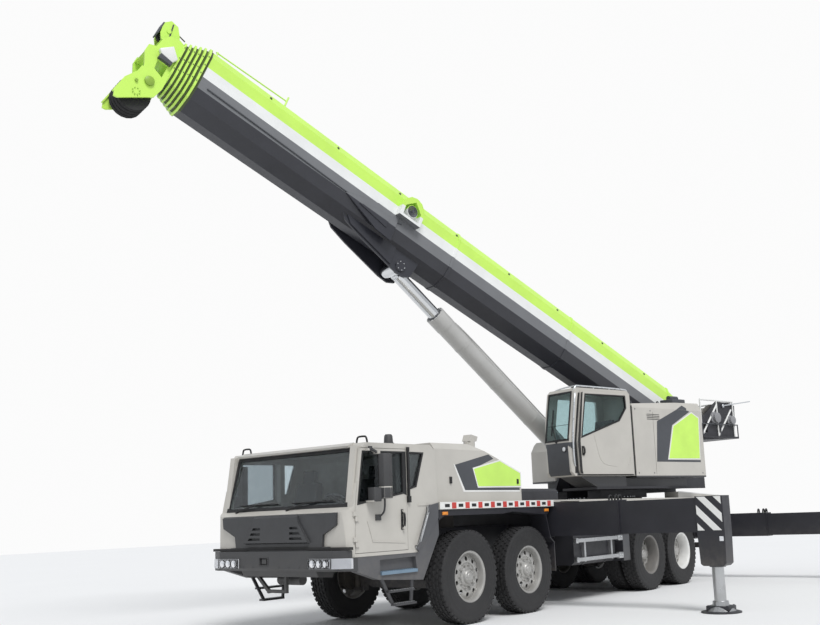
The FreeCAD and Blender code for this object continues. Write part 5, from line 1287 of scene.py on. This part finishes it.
def makeHead():
    tip = boomSizes["tip"]
    half = 0.285
    bm = bmesh.new()
    addTurned(bm, [(0, half - 0.014), (0.078, half - 0.014), (0.078, half + 0.018), (0.066, half + 0.026),
                   (0, half + 0.026)], "y", (tip + 0.205, 0, -0.370), 28)
    addTurned(bm, [(0, half - 0.014), (0.026, half - 0.014), (0.026, half + 0.012), (0, half + 0.014)], "y",
              (tip + 0.375, 0, -0.490), 20)
    for a in range(8):
        t = math.tau * a / 8
        x, z = tip + 0.298 + 0.060 * math.cos(t), -0.658 + 0.060 * math.sin(t)
        addRod(bm, (x, half - 0.016, z), (x, half + 0.004, z), 0.008, 6)
    mirrorY(bm)
    # the bosses take the lime darkened as painted shade
    addPiece("head_bosses", bm, "limeInPaintedShade", "boom_5", boom)
    # pale wind sensor box on the near cheek over its dark mount
    bm = bmesh.new()
    addPlate(bm, [(13.652, 0.210), (13.482, 0.390), (13.333, 0.225), (13.386, 0.120), (13.596, 0.145)], "y", 0.270, 0.352)
    roundEdges(bm, 0.014, 3, 40)
    addPiece("head_device", bm, "whitePaint", "boom_5", boom)
    bm = bmesh.new()
    addPlate(bm, [(13.600, 0.150), (13.380, 0.126), (13.384, 0.060), (13.612, 0.066)], "y", 0.270, 0.344)
    addPlate(bm, [(tip + 0.215, 0.500), (tip + 0.235, 0.500), (tip + 0.290, 0.860), (tip + 0.270, 0.860)], "y", 0.146,
             0.154)
    addPlate(bm, [(tip + 0.418, 0.560), (tip + 0.440, 0.560), (tip + 0.430, 0.800), (tip + 0.408, 0.800)], "y", -0.060,
             0.146)
    addPiece("head_dark", bm, "graphite", "boom_5", boom)
    # rope keepers, hook block lug and flange edges
    bm = bmesh.new()
    for x, z in ((tip + 0.47, -0.780), (tip + 0.20, 0.830)):
        reach = 0.260 if z < 0 else 0.128
        addRod(bm, (x, -reach, z), (x, reach, z), 0.014, 12)
    addPiece("rope_keepers", bm, "graphite", "boom_5", boom)
    bm = bmesh.new()
    for y in (-0.144, -0.048, 0.048, 0.144):
        addTurned(bm, [(0.196, y - 0.030), (0.225, y - 0.030), (0.225, y - 0.034), (0.196, y - 0.034)], "y",
                  (tip + 0.298, 0, -0.658), 28)
    addPiece("sheave_rims", bm, "rubberBlack", "sheaves_low", boom)


makeBoom()
makeHead()
print("boom done")

# inside the cabs and the lift cylinder
fittingSizes = {"rod": 0.122, "barrel": 0.185}


def makeInside():
    bm = bmesh.new()
    for y in (0.69, -0.69):
        for x in (1.44, 1.60, 1.76):
            addBlock(bm, x, x + 0.010, y - 0.235, y + 0.235, 1.566, 1.592)
        for z in (1.66, 1.80, 1.94):
            addBlock(bm, 1.400 - (z - 1.56) * 0.16, 1.420 - (z - 1.56) * 0.16, y - 0.225, y + 0.225, z, z + 0.010)
        addBlock(bm, 1.78, 1.80, y + 0.246, y + 0.262, 1.30, 1.42)
    addPiece("seat_seams", bm, "rubberBlack", "carrier")
    bm = bmesh.new()
    addBlock(bm, 2.160, 2.250, 0.46, 0.92, 1.700, 1.840)
    roundEdges(bm, 0.015)
    addPiece("dash_hood", bm, "dashPlastic", "carrier")
    bm = bmesh.new()
    for y in (0.58, 0.69, 0.80):
        addTurned(bm, [(0, 2.150), (0.040, 2.150), (0.040, 2.166), (0, 2.166)], "x", (0, y, 1.775), 20)
    addPiece("dash_dials", bm, "reflector", "carrier")


def makeCylinder():
    # pose of the cylinder: foot pin to rod pin
    a = math.radians(24)
    pin = Vector((-2.45 + 8.26 * math.cos(a) + 0.55 * math.sin(a), 0, 3.30 + 8.26 * math.sin(a) - 0.55 * math.cos(a)))
    foot = Vector((0.36, 0, 2.25))
    rise = math.atan2(pin.z - foot.z, pin.x - foot.x)
    place = upper @ Matrix.Translation(foot) @ Matrix.Rotation(-rise, 4, "Y")
    bm = bmesh.new()
    addTurned(bm, [(0.1235, 5.078), (0.150, 5.078), (0.150, 5.088), (0.1235, 5.088)], "x", (0, 0, 0), 40)
    for i in range(12):
        t = math.tau * i / 12
        y, z = 0.168 * math.cos(t), 0.168 * math.sin(t)
        addRod(bm, (5.078, y, z), (5.092, y, z), 0.009, 6)
    addPiece("cylinder_gland", bm, "graphite", "lift_barrel", place)
    bm = bmesh.new()
    for x in (0.9, 2.0, 3.1, 4.2):
        addTurned(bm, [(0.1845, x), (0.189, x), (0.189, x + 0.050), (0.1845, x + 0.050)], "x", (0, 0, 0), 44)
    addPipe(bm, [(0.66, 0.06, 0.170), (0.70, 0.06, 0.214), (2.40, 0.06, 0.214), (4.60, 0.06, 0.214),
                 (4.68, 0.06, 0.170)], 0.014, 10)
    addPiece("cylinder_bands", bm, "barrelGrey", "lift_barrel", place)


makeInside()
makeCylinder()
print("fittings done")

# stage, light, camera
stageSizes = {"floor": 60.0, "floorTone": 0.80, "sky": 0.62, "key": 2.2, "fill": 700.0}


def makeStage():
    bm = bmesh.new()
    bmesh.ops.create_grid(bm, x_segments=1, y_segments=1, size=stageSizes["floor"])
    data = bpy.data.meshes.new("floor")
    bm.to_mesh(data)
    bm.free()
    floor = bpy.data.objects.new("floor", data)
    scene.collection.objects.link(floor)
    floor.location = (0, 0, -0.001)
    finish, tree, shader = newFinish("floorPale")
    coords = tree.nodes.new("ShaderNodeTexCoord").outputs["Object"]
    tone = stageSizes["floorTone"]
    tree.links.new(mixed(tree, noiseOn(tree, coords, 0.4, 3.0), (tone, tone, tone), (tone * 0.97,) * 3),
                   shader.inputs["Base Color"])
    shader.inputs["Roughness"].default_value = 0.9
    data.materials.append(finish)
    world = bpy.data.worlds.new("paleSky")
    scene.world = world
    world.use_nodes = True
    tree = world.node_tree
    tree.nodes.clear()
    out = tree.nodes.new("ShaderNodeOutputWorld")
    path = tree.nodes.new("ShaderNodeLightPath")
    seen = mathOf(tree, "MAXIMUM", path.outputs["Is Camera Ray"], path.outputs["Is Transmission Ray"])
    light = addNode(tree, "ShaderNodeBackground", Color=(0.93, 0.96, 1.0, 1), Strength=stageSizes["sky"])
    shown = addNode(tree, "ShaderNodeBackground", Color=(1, 1, 1, 1), Strength=0.97)
    mix = tree.nodes.new("ShaderNodeMixShader")
    tree.links.new(seen, mix.inputs[0])
    tree.links.new(light.outputs[0], mix.inputs[1])
    tree.links.new(shown.outputs[0], mix.inputs[2])
    tree.links.new(mix.outputs[0], out.inputs[0])
    sun = bpy.data.lights.new("softSun", "SUN")
    sun.energy = stageSizes["key"]
    sun.angle = math.radians(25)
    lamp = bpy.data.objects.new("softSun", sun)
    lamp.rotation_euler = (math.radians(38), 0, math.radians(150))
    scene.collection.objects.link(lamp)
    return floor


makeStage()

cameraSizes = {"place": (14.720, 9.920, 1.578), "right": (-0.6202, 0.7835, -0.0376), "up": (0.1097, 0.1341, 0.9849),
               "forward": (-0.7768, -0.6067, 0.1691), "lens": 40.598, "shift": (-0.0503, 0.0549)}


def makeCamera():
    s = cameraSizes
    data = bpy.data.cameras.new("photoView")
    data.sensor_width = 36
    data.lens = s["lens"]
    data.shift_x, data.shift_y = s["shift"]
    data.clip_end = 300
    camera = bpy.data.objects.new("photoView", data)
    scene.collection.objects.link(camera)
    columns = [Vector(s["right"]).normalized(), Vector(s["up"]).normalized(), -Vector(s["forward"]).normalized()]
    turn = Matrix(columns).transposed().to_4x4()
    camera.matrix_world = Matrix.Translation(s["place"]) @ turn
    scene.camera = camera


makeCamera()
print("stage and camera done")
